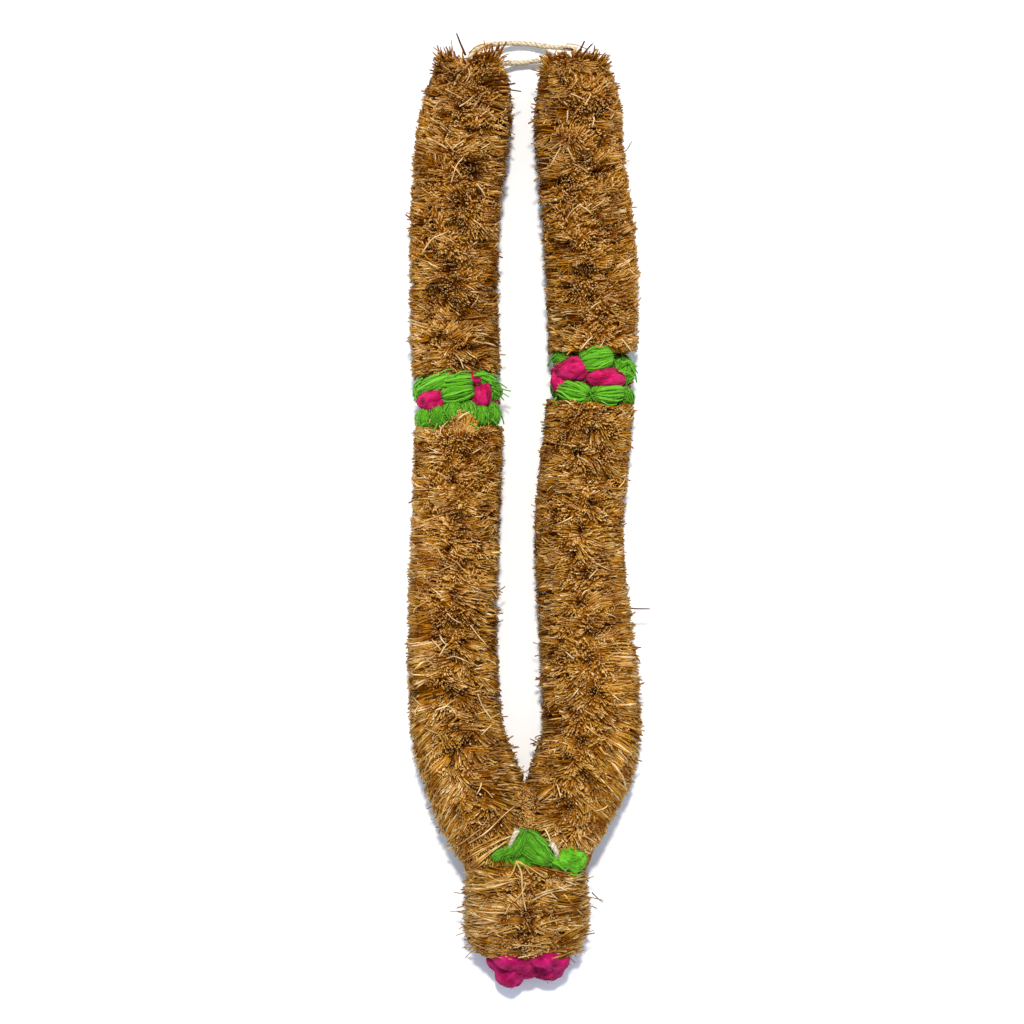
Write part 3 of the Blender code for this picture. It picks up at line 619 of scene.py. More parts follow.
def growCombed(line, side, start, end, lean, hollows):
    # long roots combed over the sides in tufts, with grooves between the tufts
    around = girthOf(line) / (2 * math.pi)
    isLate = (start + end) / 2 > combing["lateFrom"][side]
    grown = []
    for way in (1, -1):
        outer = way != line.get("inward", 0)
        spacing = combing["spacing"]["outer" if outer else "inner"]
        if isLate and outer:
            spacing = combing["spacing"]["pendant" if side == "pendant" else "late"]
        starts = combing["startsAt"]["late" if isLate and outer else "early"]
        tufts = max(2, round((end - start) / combing["tuft"]))
        tuftS = start + (np.arange(tufts) + rng.uniform(0.15, 0.85, tufts)) * (end - start) / tufts
        count = int((end - start) / spacing)
        mine = rng.integers(0, tufts, count)
        s = tuftS[mine] + rng.normal(0, combing["tuftWidth"], count)
        first = (rng.uniform(*starts, tufts)[mine] + rng.uniform(*starts, count)) / 2
        last = np.maximum(rng.uniform(*combing["endsAt"], count), first + 0.35)
        baseAngle, tipAngle = math.pi / 2 - way * first, math.pi / 2 - way * last
        midAngle = (baseAngle + tipAngle) / 2
        _, pushed, depth = pushedAside(midAngle, s, around, hollows)
        slope = lean(s, tipAngle) + rng.normal(0, combing["tuftSlope"][side], tufts)[mine]
        slope = (slope + rng.normal(0, combing["slope"][side], count)) * (last - first) / 0.8
        baseS, tipS = pushed - slope * 0.3, pushed + slope * 0.7
        relief = 1 + rng.normal(0, combing["relief"][side], tufts)[mine]
        relief = relief + rng.normal(0, 0.015, count) - 0.05 * depth
        base = pointsOn(line, baseS, baseAngle, relief * 0.86)
        tip = pointsOn(line, tipS, tipAngle, relief + rng.normal(0, 0.02, count))
        over = pointsOn(line, (baseS + tipS) / 2, midAngle, relief * 0.975)
        tone = combing["tone"] + rng.normal(0, combing["tuftTone"][side], tufts)[mine]
        tone = tone + rng.normal(0, combing["toneSpread"], count)
        # painted shade: roots in the hollows get a darker tone
        tone = np.clip(tone - brush["hollowPaintedShade"] * depth, 0, 1)
        bold = rng.random(count) < combing["bold"]
        tone = np.where(bold, rng.uniform(0.72, 1.0, count), tone)
        over, tip = over + up * (bold * 0.5 * mm)[:, None], tip + up * (bold * 0.4 * mm)[:, None]
        grown.append({
            "base": base, "tip": tip, "arch": over - (base + tip) / 2, "tone": tone, "s": tipS,
            "stray": rng.random(count) < 0.006, "kind": np.full(count, 3),
            "size": np.where(bold, combing["bolder"], 1),
        })
    return grown


ends = {"count": 420, "within": 0.86, "deep": 3.5 * mm, "footAt": 13 * mm, "bow": 0.6 * mm, "tone": 0.47}


def growEnd(line):
    # the roots that close the free end of a strand
    count = ends["count"]
    angle = rng.uniform(0, 2 * math.pi, count)
    share = np.sqrt(rng.uniform(0, ends["within"], count))
    tipS = rng.uniform(0, ends["deep"], count)
    tip = pointsOn(line, tipS, angle + rng.normal(0, 0.1, count), share)
    base = pointsOn(line, np.full(count, ends["footAt"]), angle, share * 0.5)
    tone = np.clip(rng.normal(ends["tone"], brush["toneSpread"], count), 0, 1)
    return {
        "base": base, "tip": tip, "arch": rng.normal(0, ends["bow"], (count, 3)), "tone": tone, "s": tipS,
        "stray": np.zeros(count, bool), "kind": np.ones(count, int),
    }


def trimRoots(line, roots):
    # keeps the sides of the brush straight, and splays the roots under it flat on the floor
    base, tip = roots["base"].copy(), roots["tip"]
    low = brush["floorGap"] + rng.uniform(0, 1.4 * mm, len(tip))
    base[:, 2] = np.maximum(base[:, 2], 3 * mm)
    sunk = tip[:, 2] < low
    t = np.clip((base[:, 2] - low) / np.maximum(base[:, 2] - tip[:, 2], 1e-6), 0, 1)
    hit = base + (tip - base) * t[:, None]
    flat = np.array([1, 1, 0])
    splay = (tip - base) * flat + rng.normal(0, 2 * mm, tip.shape) * flat
    laid = hit + unit(splay) * (np.linalg.norm(tip - hit, axis=1) * 0.8)[:, None]
    laid[:, 2] = low
    tip = np.where(sunk[:, None], laid, tip)
    side = sideOn(line, roots["s"])
    off = ((tip - placeOn(line, roots["s"])) * side).sum(axis=1)
    uneven = 0.016 * np.sin(roots["s"] / (1.2 * mm) + off * 40) + 0.014 * np.sin(roots["s"] / (2.3 * mm) + 2)
    trimmed = 0.985 + uneven + rng.normal(0.0, 0.016, len(tip))
    widest = reachOn(line, roots["s"], np.where(off > 0, 0.0, math.pi)) * trimmed
    tip = tip - side * np.where(roots["stray"], 0, off - np.clip(off, -widest, widest))[:, None]
    arch = np.where(sunk[:, None], roots["arch"] * 0.4, roots["arch"])
    return {**roots, "base": base, "tip": tip, "arch": arch}


def holdBack(roots, planes):
    # shortens the roots that would cross a plane, given as a point and the way in
    base, tip, arch = roots["base"], roots["tip"], roots["arch"]
    for point, inward, ragged in planes:
        point, inward = np.array(point, float), np.array(inward, float)
        margin = np.abs(rng.normal(0, ragged, len(tip)))
        room, reached = (base - point) @ inward, (tip - point) @ inward - margin
        share = np.where(reached < 0, np.clip(room / np.maximum(room - reached, 1e-6), 0, 1), 1)[:, None]
        tip, arch = base + (tip - base) * share, arch * share
    return {**roots, "tip": tip, "arch": arch}


def clearOfWool(roots, puffs):
    base, tip = roots["base"], roots["tip"]
    keep = np.linalg.norm(tip - base, axis=1) > 1.5 * mm
    for puff in puffs:
        for part in (0.75, 1.0):
            local = ((base + (tip - base) * part) - puff["centre"]) @ puff["axes"].T / puff["size"]
            keep &= (local**2).sum(axis=1) > 0.95
    return {key: values[keep] for key, values in roots.items()}


def rootsBatches(roots):
    base, tip, kind = roots["base"], roots["tip"], roots["kind"]
    count = len(base)
    length = np.linalg.norm(tip - base, axis=1)[:, None]
    ahead = unit(tip - base)
    sway = rng.normal(0, 1, (2, count, 3))
    sway = sway - ahead * (sway * ahead).sum(axis=2, keepdims=True)
    bow = sway[0] * length * brush["bow"]
    hook = sway[1] * length * np.where(kind == 2, brush["curl"], brush["hook"])[:, None]
    grounded = np.minimum(base[:, 2], tip[:, 2]) < 4 * mm
    for bend in (bow, hook):
        bend[grounded, 2] = np.abs(bend[grounded, 2]) * 0.4
    bow = bow + roots["arch"]
    size = rng.uniform(0.7, 1.3, count)
    size = np.where(rng.random(count) < 0.006, 2.0, size)
    size = np.where(kind == 3, size * combing["thicker"], size) * roots.get("size", 1)
    batches = []
    for i, shape in enumerate((stiffRoot, straightRoot, bentRoot, longRoot)):
        chosen = kind == i
        if not chosen.any():
            continue
        path = curvedPaths(shape, base[chosen], tip[chosen], bow[chosen], hook[chosen])
        t = shape["levels"][None]
        radius = (brush["thick"] + (brush["thin"] - brush["thick"]) * t) * size[chosen][:, None]
        batches.append(layAlong(shape, path, radius, roots["tone"][chosen], 0.7 if i == 3 else 0.0))
    return batches


def heightOver(line, x, y):
    # how high the trimmed roots stand at a place seen from above
    nearest = np.hypot(line["points"][:, 0] - x, line["points"][:, 1] - y).argmin()
    s = line["gone"][nearest]
    off = np.hypot(line["points"][nearest, 0] - x, line["points"][nearest, 1] - y)
    wide, high = reachOn(line, s, 0.0), reachOn(line, s, math.pi / 2)
    return line["points"][nearest, 2] + high * math.sqrt(max(0.0, 1 - (off / wide) ** 2))


def fromPhoto(px, py):
    middle = photo["middlePixel"]
    return (px - middle[0]) * photo["metresPerPixel"], (middle[1] - py) * photo["metresPerPixel"]


# dark hollows seen in the photo: middle, half width and half height in pixels
photoHollows = {
    "left": [
        (450, 83, 4, 3), (490, 86, 9, 2.5), (453, 110, 5, 3), (441, 121, 4, 3), (440, 136, 3, 3),
        (475, 134, 4, 2.5), (493, 134, 4, 2.5), (476, 166, 8, 3), (481, 179, 5, 3), (430, 168, 5, 3),
        (465, 204, 7, 6), (451, 203, 4, 3), (482, 199, 4, 3), (418, 227, 4, 3), (455, 229, 5, 3),
        (425, 256, 6, 4), (488, 247, 8, 2.5), (448, 269, 7, 4), (458, 286, 7, 4), (432, 294, 7, 3.5),
        (446, 304, 6, 3), (468, 316, 7, 5), (496, 292, 4, 4), (442, 338, 8, 3), (456, 340, 5, 3),
        (494, 342, 4, 4), (476, 349, 8, 2.5), (472, 366, 8, 2.5), (455, 625, 4, 3), (472, 641, 4, 3),
        (457, 655, 5, 4), (428, 685, 13, 4), (452, 693, 4, 3), (467, 690, 4, 3), (463, 723, 6, 3),
        (448, 748, 5, 3.5), (472, 738, 5, 4), (480, 778, 7, 4), (487, 786, 5, 3), (426, 636, 7, 2),
        (470, 455, 5, 3), (452, 480, 4, 3), (462, 520, 5, 3), (444, 548, 4, 3), (466, 566, 5, 3),
        (452, 596, 4, 3), (500, 806, 5, 3),
    ],
    "right": [
        (559, 113, 8, 4.5), (604, 125, 4, 4), (606, 149, 4, 3), (581, 163, 7, 4), (605, 174, 9, 4),
        (552, 186, 10, 3), (544, 134, 4, 3), (602, 219, 8, 2.5), (556, 249, 9, 3), (612, 231, 4, 4),
        (581, 275, 6, 4), (614, 279, 4, 3), (590, 300, 5, 3), (572, 322, 5, 3), (560, 290, 5, 2.5),
        (548, 713, 5, 4), (546, 723, 4, 3), (590, 436, 5, 3), (574, 452, 4, 3), (584, 480, 5, 3),
        (596, 505, 4, 3), (580, 530, 5, 3), (570, 552, 5, 2.5), (588, 575, 5, 3), (578, 600, 5, 3),
        (592, 632, 5, 3), (584, 660, 5, 3), (596, 690, 5, 3), (578, 735, 5, 3), (600, 742, 4, 3),
        (560, 792, 6, 3), (545, 779, 4, 3), (558, 805, 5, 2.5), (570, 800, 4, 3), (590, 770, 5, 3),
    ],
    "pendant": [
        (526, 908, 9, 3.4), (514, 916, 5, 2.5), (538, 918, 5, 2.5), (519, 931, 10, 2.2), (511, 950, 6, 2),
    ],
}
hollow = {"larger": 1.45, "unseen": 3, "unseenSize": 2.4 * mm, "unseenStretch": 1.4}


def hollowsOn(line, side, start, end):
    # as angle and distance along the line, size and stretch round the brush
    found = []
    for px, py, halfWidth, halfHeight in photoHollows[side]:
        point = np.array([*fromPhoto(px, py), coreHeight])
        nearest = np.linalg.norm(line["points"] - point, axis=1).argmin()
        s = line["gone"][nearest]
        if start - 6 * mm < s < end + 6 * mm:
            off = (point - line["points"][nearest]) @ sideOn(line, s)
            angle = math.acos(max(-0.98, min(0.98, off / reachOn(line, s, 0.0))))
            size = hollow["larger"] * halfHeight * photo["metresPerPixel"]
            found.append((angle, s, size, halfWidth / halfHeight))
    for _ in range(hollow["unseen"]):  # the others are on the sides that the photo doesn't show
        angle = rng.uniform(-1.2, 0.15) + (math.pi if rng.random() < 0.5 else 0)
        found.append((angle, rng.uniform(start, end), hollow["unseenSize"], hollow["unseenStretch"]))
    return found


def looseRoot(line, pixels, radius, tone, lift):
    # a root that lies over the others, along pixels of the photo
    points = [(x, y, heightOver(line, x, y) + lift * mm) for x, y in (fromPhoto(*p) for p in pixels)]
    return sprig(np.array(points), radius * mm, tone)


def sprig(points, radius, tone):
    # one thick root with four sides, thinner towards its tip
    path = smoothPath(points, 2.2 * mm)
    count = len(path)
    ahead = unit(np.gradient(path, axis=0))
    first = unit(np.cross(ahead, up + np.array([0.13, 0.07, 0])))
    second = np.cross(ahead, first)
    angle = 2 * math.pi * np.arange(4) / 4
    taper = np.linspace(1, 0.6, count)[:, None, None]
    rings = path[:, None] + radius * taper * (
        first[:, None] * np.cos(angle)[None, :, None] + second[:, None] * np.sin(angle)[None, :, None])
    return tubeBatch(rings, tone, 0.88)


core = {"sides": 36, "step": 2.4 * mm, "uneven": 0.03, "hollow": 0.25, "floorGap": 1.0 * mm}


def coreBatch(line, start, end, hollows):
    # the matted mass under the tips
    sides = core["sides"]
    count = max(4, round((end - start) / core["step"]))
    angle = 2 * math.pi * np.arange(sides) / sides
    around = girthOf(line) / (2 * math.pi)
    rings = []
    for s in np.linspace(start, end, count):
        at = np.full(sides, s)
        share = brush["coreShare"] * (1 + rng.normal(0, core["uneven"], sides))
        for hollowAngle, hollowS, size, stretch in hollows:
            far = np.hypot(turnBetween(angle, hollowAngle) * around / stretch, s - hollowS)
            share = share * (1 - core["hollow"] * np.clip(1.6 - far / size, 0, 1))
        ring = placeOn(line, at) + outOn(line, at, angle) * (reachOn(line, at, angle) * share)[:, None]
        ring[:, 2] = np.maximum(ring[:, 2], core["floorGap"])
        rings.append(ring)
    return tubeBatch(np.array(rings), 0.3, 0.5, 1.0)


def randomLoose(line, start, end, count):
    # pale thin roots that lie over the brush
    batches = []
    for _ in range(count):
        s = rng.uniform(start, end)
        angle = rng.uniform(0.5, math.pi - 0.5)
        reach = rng.uniform(4, 10, 2) * mm * rng.choice([-1, 1], 2)
        s = np.clip(s + np.array([0, 0.5, 1]) * reach[0] * 0.8, start, end)
        angle = angle + np.array([0, 0.4, 1]) * reach[1] / (26 * mm)
        points = pointsOn(line, s, angle, np.array([1.0, 1.045, 1.02]))
        batches.append(sprig(points, rng.uniform(0.3, 0.5) * mm, rng.choice([0.15, 0.9, 0.96, 1.0])))
    return batches


def bunchPiece(node, line, start, end, lean, planes, puffs, finish, extras=()):
    side = node.split("_")[0]
    whorls = max(1, round((end - start) / brush["whorl"]))
    edges = np.linspace(start, end, whorls + 1)
    edges[1:-1] += rng.normal(0, brush["whorlShift"], whorls - 1)
    hollows = hollowsOn(line, side, start, end)
    atTop = start == 0 and "inward" in line
    coreStart = start + brush["endCover"] if atTop else start - 0.5 * mm
    batches = [coreBatch(line, coreStart, end + 0.5 * mm, hollows)]
    grown = [growWhorl(line, low, high, lean, hollows) for low, high in zip(edges, edges[1:])]
    grown += growCombed(line, side, start, end, lean, hollows)
    if atTop:
        grown.append(growEnd(line))
    planes = [*planes, ((0, line["topAt"], 0), (0, -1, 0), brush["raggedTop"])]
    for roots in grown:
        batches += rootsBatches(clearOfWool(trimRoots(line, holdBack(roots, planes)), puffs))
    batches += randomLoose(line, start, end, brush["looseOnes"])
    piece = makeMesh(node.replace("_", "") + "Roots", finish, [*batches, *extras])
    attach(piece, "root")
    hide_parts(node)
    return piece


# roots that stand out in the photo: pixels they run along, radius in mm, tone, height over the brush in mm
looseRoots = {
    "left_bunch_1": [
        ([(466, 60), (461, 48), (457, 37)], 0.75, 0.0, 4), ([(444, 66), (439, 60), (435, 54)], 0.7, 0.02, 1),
        ([(452, 64), (451, 56), (450, 49)], 0.6, 0.1, 1), ([(436, 74), (434, 67)], 0.5, 0.05, 0),
        ([(464, 73), (470, 68)], 0.5, 1.0, 1), ([(460, 111), (468, 106), (475, 99)], 0.5, 0.95, 1),
        ([(475, 111), (483, 98)], 0.45, 0.95, 1), ([(431, 121), (438, 126), (445, 130)], 0.5, 0.9, 1),
        ([(488, 88), (504, 87), (515, 83)], 0.9, 0.02, 1), ([(492, 91), (507, 91), (521, 91)], 0.6, 0.03, 1),
        ([(482, 84), (496, 83), (506, 80)], 0.9, 0.06, 0.5),
        ([(470, 66), (482, 58), (490, 55)], 0.8, 0.12, 1.5), ([(474, 60), (488, 57), (498, 50)], 0.7, 0.2, 2),
        ([(478, 70), (494, 60), (503, 52)], 0.6, 0.1, 2), ([(446, 93), (456, 99), (463, 103)], 0.5, 0.85, 1),
        ([(469, 73), (470, 80), (466, 87)], 0.4, 0.9, 1), ([(491, 46), (483, 50), (475, 58)], 0.5, 0.85, -1),
        ([(488, 47), (480, 52), (471, 61)], 0.45, 0.95, 1),
        ([(487, 49), (479, 56), (473, 65)], 0.45, 0.75, 1), ([(493, 47), (486, 53), (480, 61)], 0.4, 0.9, 0),
        ([(485, 47), (477, 50), (469, 57)], 0.45, 0.6, 1), ([(511, 61), (503, 63), (494, 69)], 0.45, 1.0, -7),
        ([(509, 59), (501, 62), (492, 66)], 0.4, 0.9, -4), ([(506, 62), (499, 68), (493, 74)], 0.4, 0.95, -4),
    ],
    "left_bunch_2": [
        ([(428, 141), (438, 146), (448, 153)], 0.5, 0.9, 1),
        ([(452, 186), (457, 170), (464, 161)], 0.5, 0.95, 1),
        ([(477, 187), (482, 193), (486, 200)], 0.5, 1.0, 1),
        ([(474, 223), (481, 228), (490, 238)], 0.4, 0.95, 1),
        ([(423, 255), (433, 242), (448, 235)], 0.5, 1.0, 1.2),
    ],
    "left_bunch_4": [([(456, 356), (461, 362), (464, 370)], 0.5, 1.0, 1)],
    "left_bunch_5": [
        ([(441, 436), (442, 429), (449, 422)], 0.36, 0.95, 2), ([(430, 424), (431, 420)], 0.4, 0.8, 1),
        ([(459, 420), (464, 416), (470, 413)], 0.6, 0.95, 4),
    ],
    "left_bunch_7": [
        ([(448, 612), (454, 618), (462, 622)], 0.5, 0.9, 1),
        ([(471, 624), (478, 634), (486, 643)], 0.5, 1.0, 1),
        ([(440, 655), (444, 648), (448, 642)], 0.5, 0.9, 1),
        ([(447, 657), (456, 655), (474, 663)], 0.4, 1.0, 1),
        ([(478, 692), (483, 705), (492, 718)], 0.5, 1.0, 1),
        ([(437, 708), (449, 704), (457, 712)], 0.5, 0.95, 1),
    ],
    "left_bunch_9": [
        ([(469, 840), (486, 829), (504, 812), (518, 801), (525, 791)], 0.42, 0.95, 1.2),
        ([(479, 818), (483, 822), (487, 816)], 0.4, 0.95, 1),
        ([(446, 850), (462, 840), (480, 826)], 0.5, 0.85, 1),
        ([(506, 838), (492, 848), (476, 863)], 0.5, 0.8, 1.6),
        ([(502, 836), (486, 845), (467, 858)], 0.5, 0.75, 1.5),
        ([(498, 833), (480, 842), (461, 853)], 0.5, 0.66, 1.4),
        ([(497, 843), (484, 852), (470, 864)], 0.5, 0.85, 1.6),
        ([(490, 848), (480, 857), (470, 868)], 0.5, 0.6, 1.4),
        ([(494, 840), (478, 848), (463, 859)], 0.45, 0.85, 1.5),
        ([(505, 834), (488, 841), (470, 849)], 0.45, 0.56, 1.4),
        ([(487, 849), (477, 857), (466, 866)], 0.5, 0.7, 1.4),
        ([(511, 833), (498, 838), (484, 847)], 0.45, 0.9, 1.4),
        ([(486, 853), (478, 861), (471, 869)], 0.5, 0.66, 1.2),
        ([(488, 843), (474, 850), (459, 858)], 0.5, 0.5, 1.2),
        ([(485, 858), (478, 864), (470, 870)], 0.45, 0.78, 1.2),
    ],
    "right_bunch_1": [
        ([(574, 62), (580, 53), (584, 45)], 0.8, 0.0, 3), ([(580, 62), (586, 54), (592, 47)], 0.7, 0.0, 3),
        ([(590, 60), (598, 57), (605, 55)], 0.5, 0.3, 2), ([(573, 54), (568, 53), (563, 52)], 0.5, 0.02, 3),
        ([(556, 74), (563, 70)], 0.5, 0.95, 1), ([(584, 110), (588, 103), (590, 98)], 0.5, 1.0, 1),
        ([(570, 98), (577, 101), (583, 104)], 0.4, 0.95, 1), ([(606, 96), (613, 91), (621, 88)], 0.5, 0.2, 0),
        ([(607, 93), (614, 86), (618, 83)], 0.4, 0.3, 0), ([(543, 61), (553, 59), (564, 61)], 0.7, 0.1, 1),
        ([(546, 47), (548, 51), (547, 56)], 0.6, 1.0, -8), ([(562, 48), (557, 51), (555, 55)], 0.6, 1.0, -3),
        ([(566, 47), (575, 48), (586, 52)], 0.5, 0.9, -1),
    ],
    "right_bunch_2": [
        ([(550, 169), (556, 158), (560, 151)], 0.5, 1.0, 1),
        ([(567, 152), (571, 160), (574, 166)], 0.5, 0.95, 1),
        ([(567, 115), (567, 121), (566, 126)], 0.5, 0.95, 1),
        ([(593, 121), (593, 126), (591, 131)], 0.5, 0.95, 1),
        ([(612, 153), (625, 151), (632, 141)], 0.4, 0.1, 0),
    ],
    "right_bunch_4": [
        ([(580, 351), (586, 344), (591, 339)], 0.5, 1.0, 1.5),
        ([(599, 349), (602, 344), (604, 340)], 0.4, 0.95, 1),
    ],
    "right_bunch_7": [([(612, 601), (630, 608), (650, 609)], 0.6, 0.0, 1)],
    "right_bunch_9": [
        ([(545, 826), (549, 834), (550, 841)], 0.5, 0.95, 1.5),
        ([(577, 826), (580, 838), (590, 848)], 0.6, 0.8, 1),
        ([(583, 832), (592, 838), (598, 843)], 0.5, 0.85, 1),
    ],
    "pendant_bunch": [
        ([(516, 857), (521, 868), (522, 880), (523, 893), (526, 906)], 0.75, 0.85, 1.6),
        ([(517, 858), (529, 863), (536, 868), (545, 874)], 0.6, 0.75, 1.6),
        ([(517, 857), (523, 860), (530, 870)], 0.45, 0.9, 1.4),
        ([(516, 858), (513, 868), (506, 875), (490, 878)], 0.5, 0.8, 1.5),
        ([(526, 878), (522, 888), (514, 897)], 0.6, 0.85, 1.5),
        ([(535, 891), (550, 886), (572, 882)], 0.7, 0.85, 1.5),
        ([(532, 896), (547, 889), (566, 886)], 0.6, 0.9, 1.2),
        ([(563, 890), (572, 901), (582, 913)], 0.6, 0.85, 1.3),
        ([(488, 872), (500, 877), (518, 874)], 0.7, 0.8, 1.2),
        ([(480, 906), (486, 898), (488, 894)], 0.5, 0.9, 1.3),
        ([(505, 910), (508, 904), (510, 900)], 0.4, 0.95, 1),
        ([(540, 920), (556, 916), (580, 914)], 0.6, 0.8, 1),
        ([(466, 912), (480, 906), (494, 906)], 0.6, 0.8, 1),
        ([(518, 953), (532, 950), (544, 945)], 0.4, 0.85, 1.5),
        ([(512, 940), (530, 941), (541, 942)], 0.5, 0.85, 1),
        ([(592, 893), (598, 899), (603, 903)], 0.4, 0.1, 0),
        ([(484, 951), (500, 954), (512, 955)], 0.4, 0.7, 0.5),
        ([(480, 893), (468, 893), (454, 893)], 0.4, 0.4, 0),
        ([(474, 913), (462, 912), (450, 912)], 0.4, 0.5, 0),
        ([(476, 930), (466, 932), (456, 936)], 0.4, 0.5, 0),
        ([(474, 924), (464, 926), (459, 930)], 0.4, 0.6, 0),
        ([(584, 904), (592, 907), (597, 909)], 0.4, 0.2, 0),
        ([(582, 927), (589, 932), (594, 931)], 0.4, 0.3, 0),
        ([(584, 878), (590, 878), (594, 877)], 0.4, 0.6, 0),
        ([(576, 944), (583, 943), (588, 940)], 0.4, 0.6, 0),
        ([(484, 946), (474, 950), (466, 957)], 0.4, 0.5, 0),
        ([(480, 940), (470, 943), (462, 949)], 0.4, 0.4, 0),
    ],
}


# thick roots whose pale cut ends show as dots in the photo
paleDots = {
    "pendant_bunch": [
        (509, 912), (521, 911), (537, 912), (541, 918), (524, 930), (529, 926), (510, 943), (515, 942),
        (532, 942), (541, 943), (508, 957), (502, 926), (550, 929), (496, 918),
    ],
    "right_bunch_8": [(564, 737), (607, 725), (603, 725), (571, 750)],
    "right_bunch_9": [(560, 791), (564, 816), (556, 803), (575, 800)],
    "left_bunch_9": [(501, 822), (480, 791), (493, 812)],
    "left_bunch_8": [(452, 733), (470, 741)],
}


def paleDot(line, px, py):
    x, y = fromPhoto(px, py)
    top = np.array([x, y, heightOver(line, x, y) - 0.5 * mm])
    return sprig(np.array([top - [0, 0, 4 * mm], top + [0.5 * mm, -0.6 * mm, 0]]), 0.75 * mm, 1.0)


def looseFor(node, line):
    dots = [paleDot(line, *pixel) for pixel in paleDots.get(node, ())]
    return dots + [looseRoot(line, *root) for root in looseRoots.get(node, ())]


# the tufts that close the tops of the strands: pixel of their tips, spread in pixels and count
topTufts = {
    "left": [
        (438, 58, 2.5, 4, 30), (446, 56, 3.5, 3.5, 40), (455, 59, 4, 3, 34), (466, 62, 4, 2, 30),
        (477, 59, 4, 3, 36), (487, 56, 4, 3.5, 34), (498, 54, 3.5, 4, 30), (500, 64, 3.5, 4, 22),
        (434, 70, 2, 4, 20), (507, 80, 3, 4, 20),
    ],
    "right": [
        (545, 59, 3, 2, 22), (554, 58, 4, 2, 28), (566, 57, 4, 2.5, 28), (577, 55, 4, 3, 30),
        (588, 56, 4, 3, 28), (598, 58, 4, 2.5, 26), (606, 63, 2.5, 3, 20), (610, 74, 2, 4, 18),
        (538, 72, 2, 4, 14),
    ],
}
topLook = {
    "heights": (19 * mm, 43 * mm), "footAt": 15 * mm, "footShare": (0.45, 0.1, 0.45),
    "spread": 1.2 * mm, "tone": 0.36,
}


def growTop(line, tufts):
    grown = []
    for px, py, wide, high, count in tufts:
        x, y = fromPhoto(px + rng.normal(0, wide, count), py + rng.normal(0, high, count))
        tip = np.column_stack([x, y, rng.uniform(*topLook["heights"], count)])
        foot = placeOn(line, np.full(count, topLook["footAt"]))
        base = foot + (tip - foot) * np.array(topLook["footShare"])
        base = base + rng.normal(0, topLook["spread"], (count, 3))
        tone = np.clip(rng.normal(topLook["tone"], 0.05) + rng.normal(0, 0.2, count), 0, 1)
        kind = np.where(rng.random(count) < 0.5, 1, 2)
        grown += rootsBatches({"base": base, "tip": tip, "arch": tip * 0, "tone": tone, "kind": kind})
    return grown


jointTips = {  # columns and rows in pixels
    "count": 520, "column": 527, "spread": 6.2, "rows": (785, 829),
    "lowAbove": 797, "lowOver": 12, "lower": 9 * mm,
    "height": 40.5 * mm, "slope": 0.12 * mm, "ragged": 1.0 * mm, "lean": 3.2 * mm, "leanUp": 2 * mm,
    "length": 11 * mm, "tone": (0.54, 0.18), "bent": 0.35,
}


def mixedJoint():
    # the tips of both strands that mix where the strands meet
    look, count = jointTips, jointTips["count"]
    px = rng.normal(look["column"], look["spread"], count)
    py = rng.uniform(*look["rows"], count)
    x, y = fromPhoto(px, py)
    z = look["height"] - np.abs(px - look["column"]) * look["slope"] + rng.normal(0, look["ragged"], count)
    z = z - np.clip((look["lowAbove"] - py) / look["lowOver"], 0, 1) * look["lower"]
    tip = np.column_stack([x, y, z])
    lean = rng.normal(0, look["lean"], (count, 2)) + np.array([0, look["leanUp"]])
    base = tip + np.column_stack([lean, np.full(count, -look["length"])])
    tone = np.clip(rng.normal(*look["tone"], count), 0, 1)
    kind = np.where(rng.random(count) < look["bent"], 2, 1)
    return rootsBatches({"base": base, "tip": tip, "arch": tip * 0, "tone": tone, "kind": kind})


peak = {  # columns and rows in pixels
    "count": 300, "column": 464, "spread": 9, "rows": (411, 432), "tipRow": 405, "flare": 0.9,
    "height": 47.5 * mm, "slope": 0.25, "ragged": 0.8 * mm, "gathered": 0.3, "length": 11 * mm,
    "tone": (0.5, 0.17),
}


def peakOverBand():
    # the tuft of the bunch below that stands up over the left band's lower row
    px = rng.normal(peak["column"], peak["spread"], peak["count"])
    py = rng.uniform(*peak["rows"], peak["count"])
    kept = np.abs(px - peak["column"]) < (py - peak["tipRow"]) * peak["flare"]
    x, y = fromPhoto(px[kept], py[kept])
    z = peak["height"] - np.abs(x - x.mean()) * peak["slope"] + rng.normal(0, peak["ragged"], len(x))
    tip = np.column_stack([x, y, z])
    down = np.full(len(x), -peak["length"])
    base = tip + np.column_stack([(x.mean() - x) * peak["gathered"], down, down])
    tone = np.clip(rng.normal(*peak["tone"], len(x)), 0, 1)
    kind = np.zeros(len(x), int)
    return rootsBatches({"base": base, "tip": tip, "arch": tip * 0, "tone": tone, "kind": kind})


# Wool

band = {
    "puffDepth": 9.4 * mm, "puffTop": 26.5 * mm,
    "backAngles": (200, 270, 340), "backPuff": (13, 6.8),
    "tierAt": {"upper": 10.2 * mm, "middle": 0.6 * mm, "lower": -10.2 * mm},
    "tierHalf": {"upper": 6.4 * mm, "middle": 5.2 * mm, "lower": 6.6 * mm},
    "hubRadius": 15 * mm,
    "backOut": (13 * mm, 6 * mm), "backDepth": 8 * mm, "backTilt": 14,
}
woolGap = 0.4 * mm  # how far the wool stays above the floor
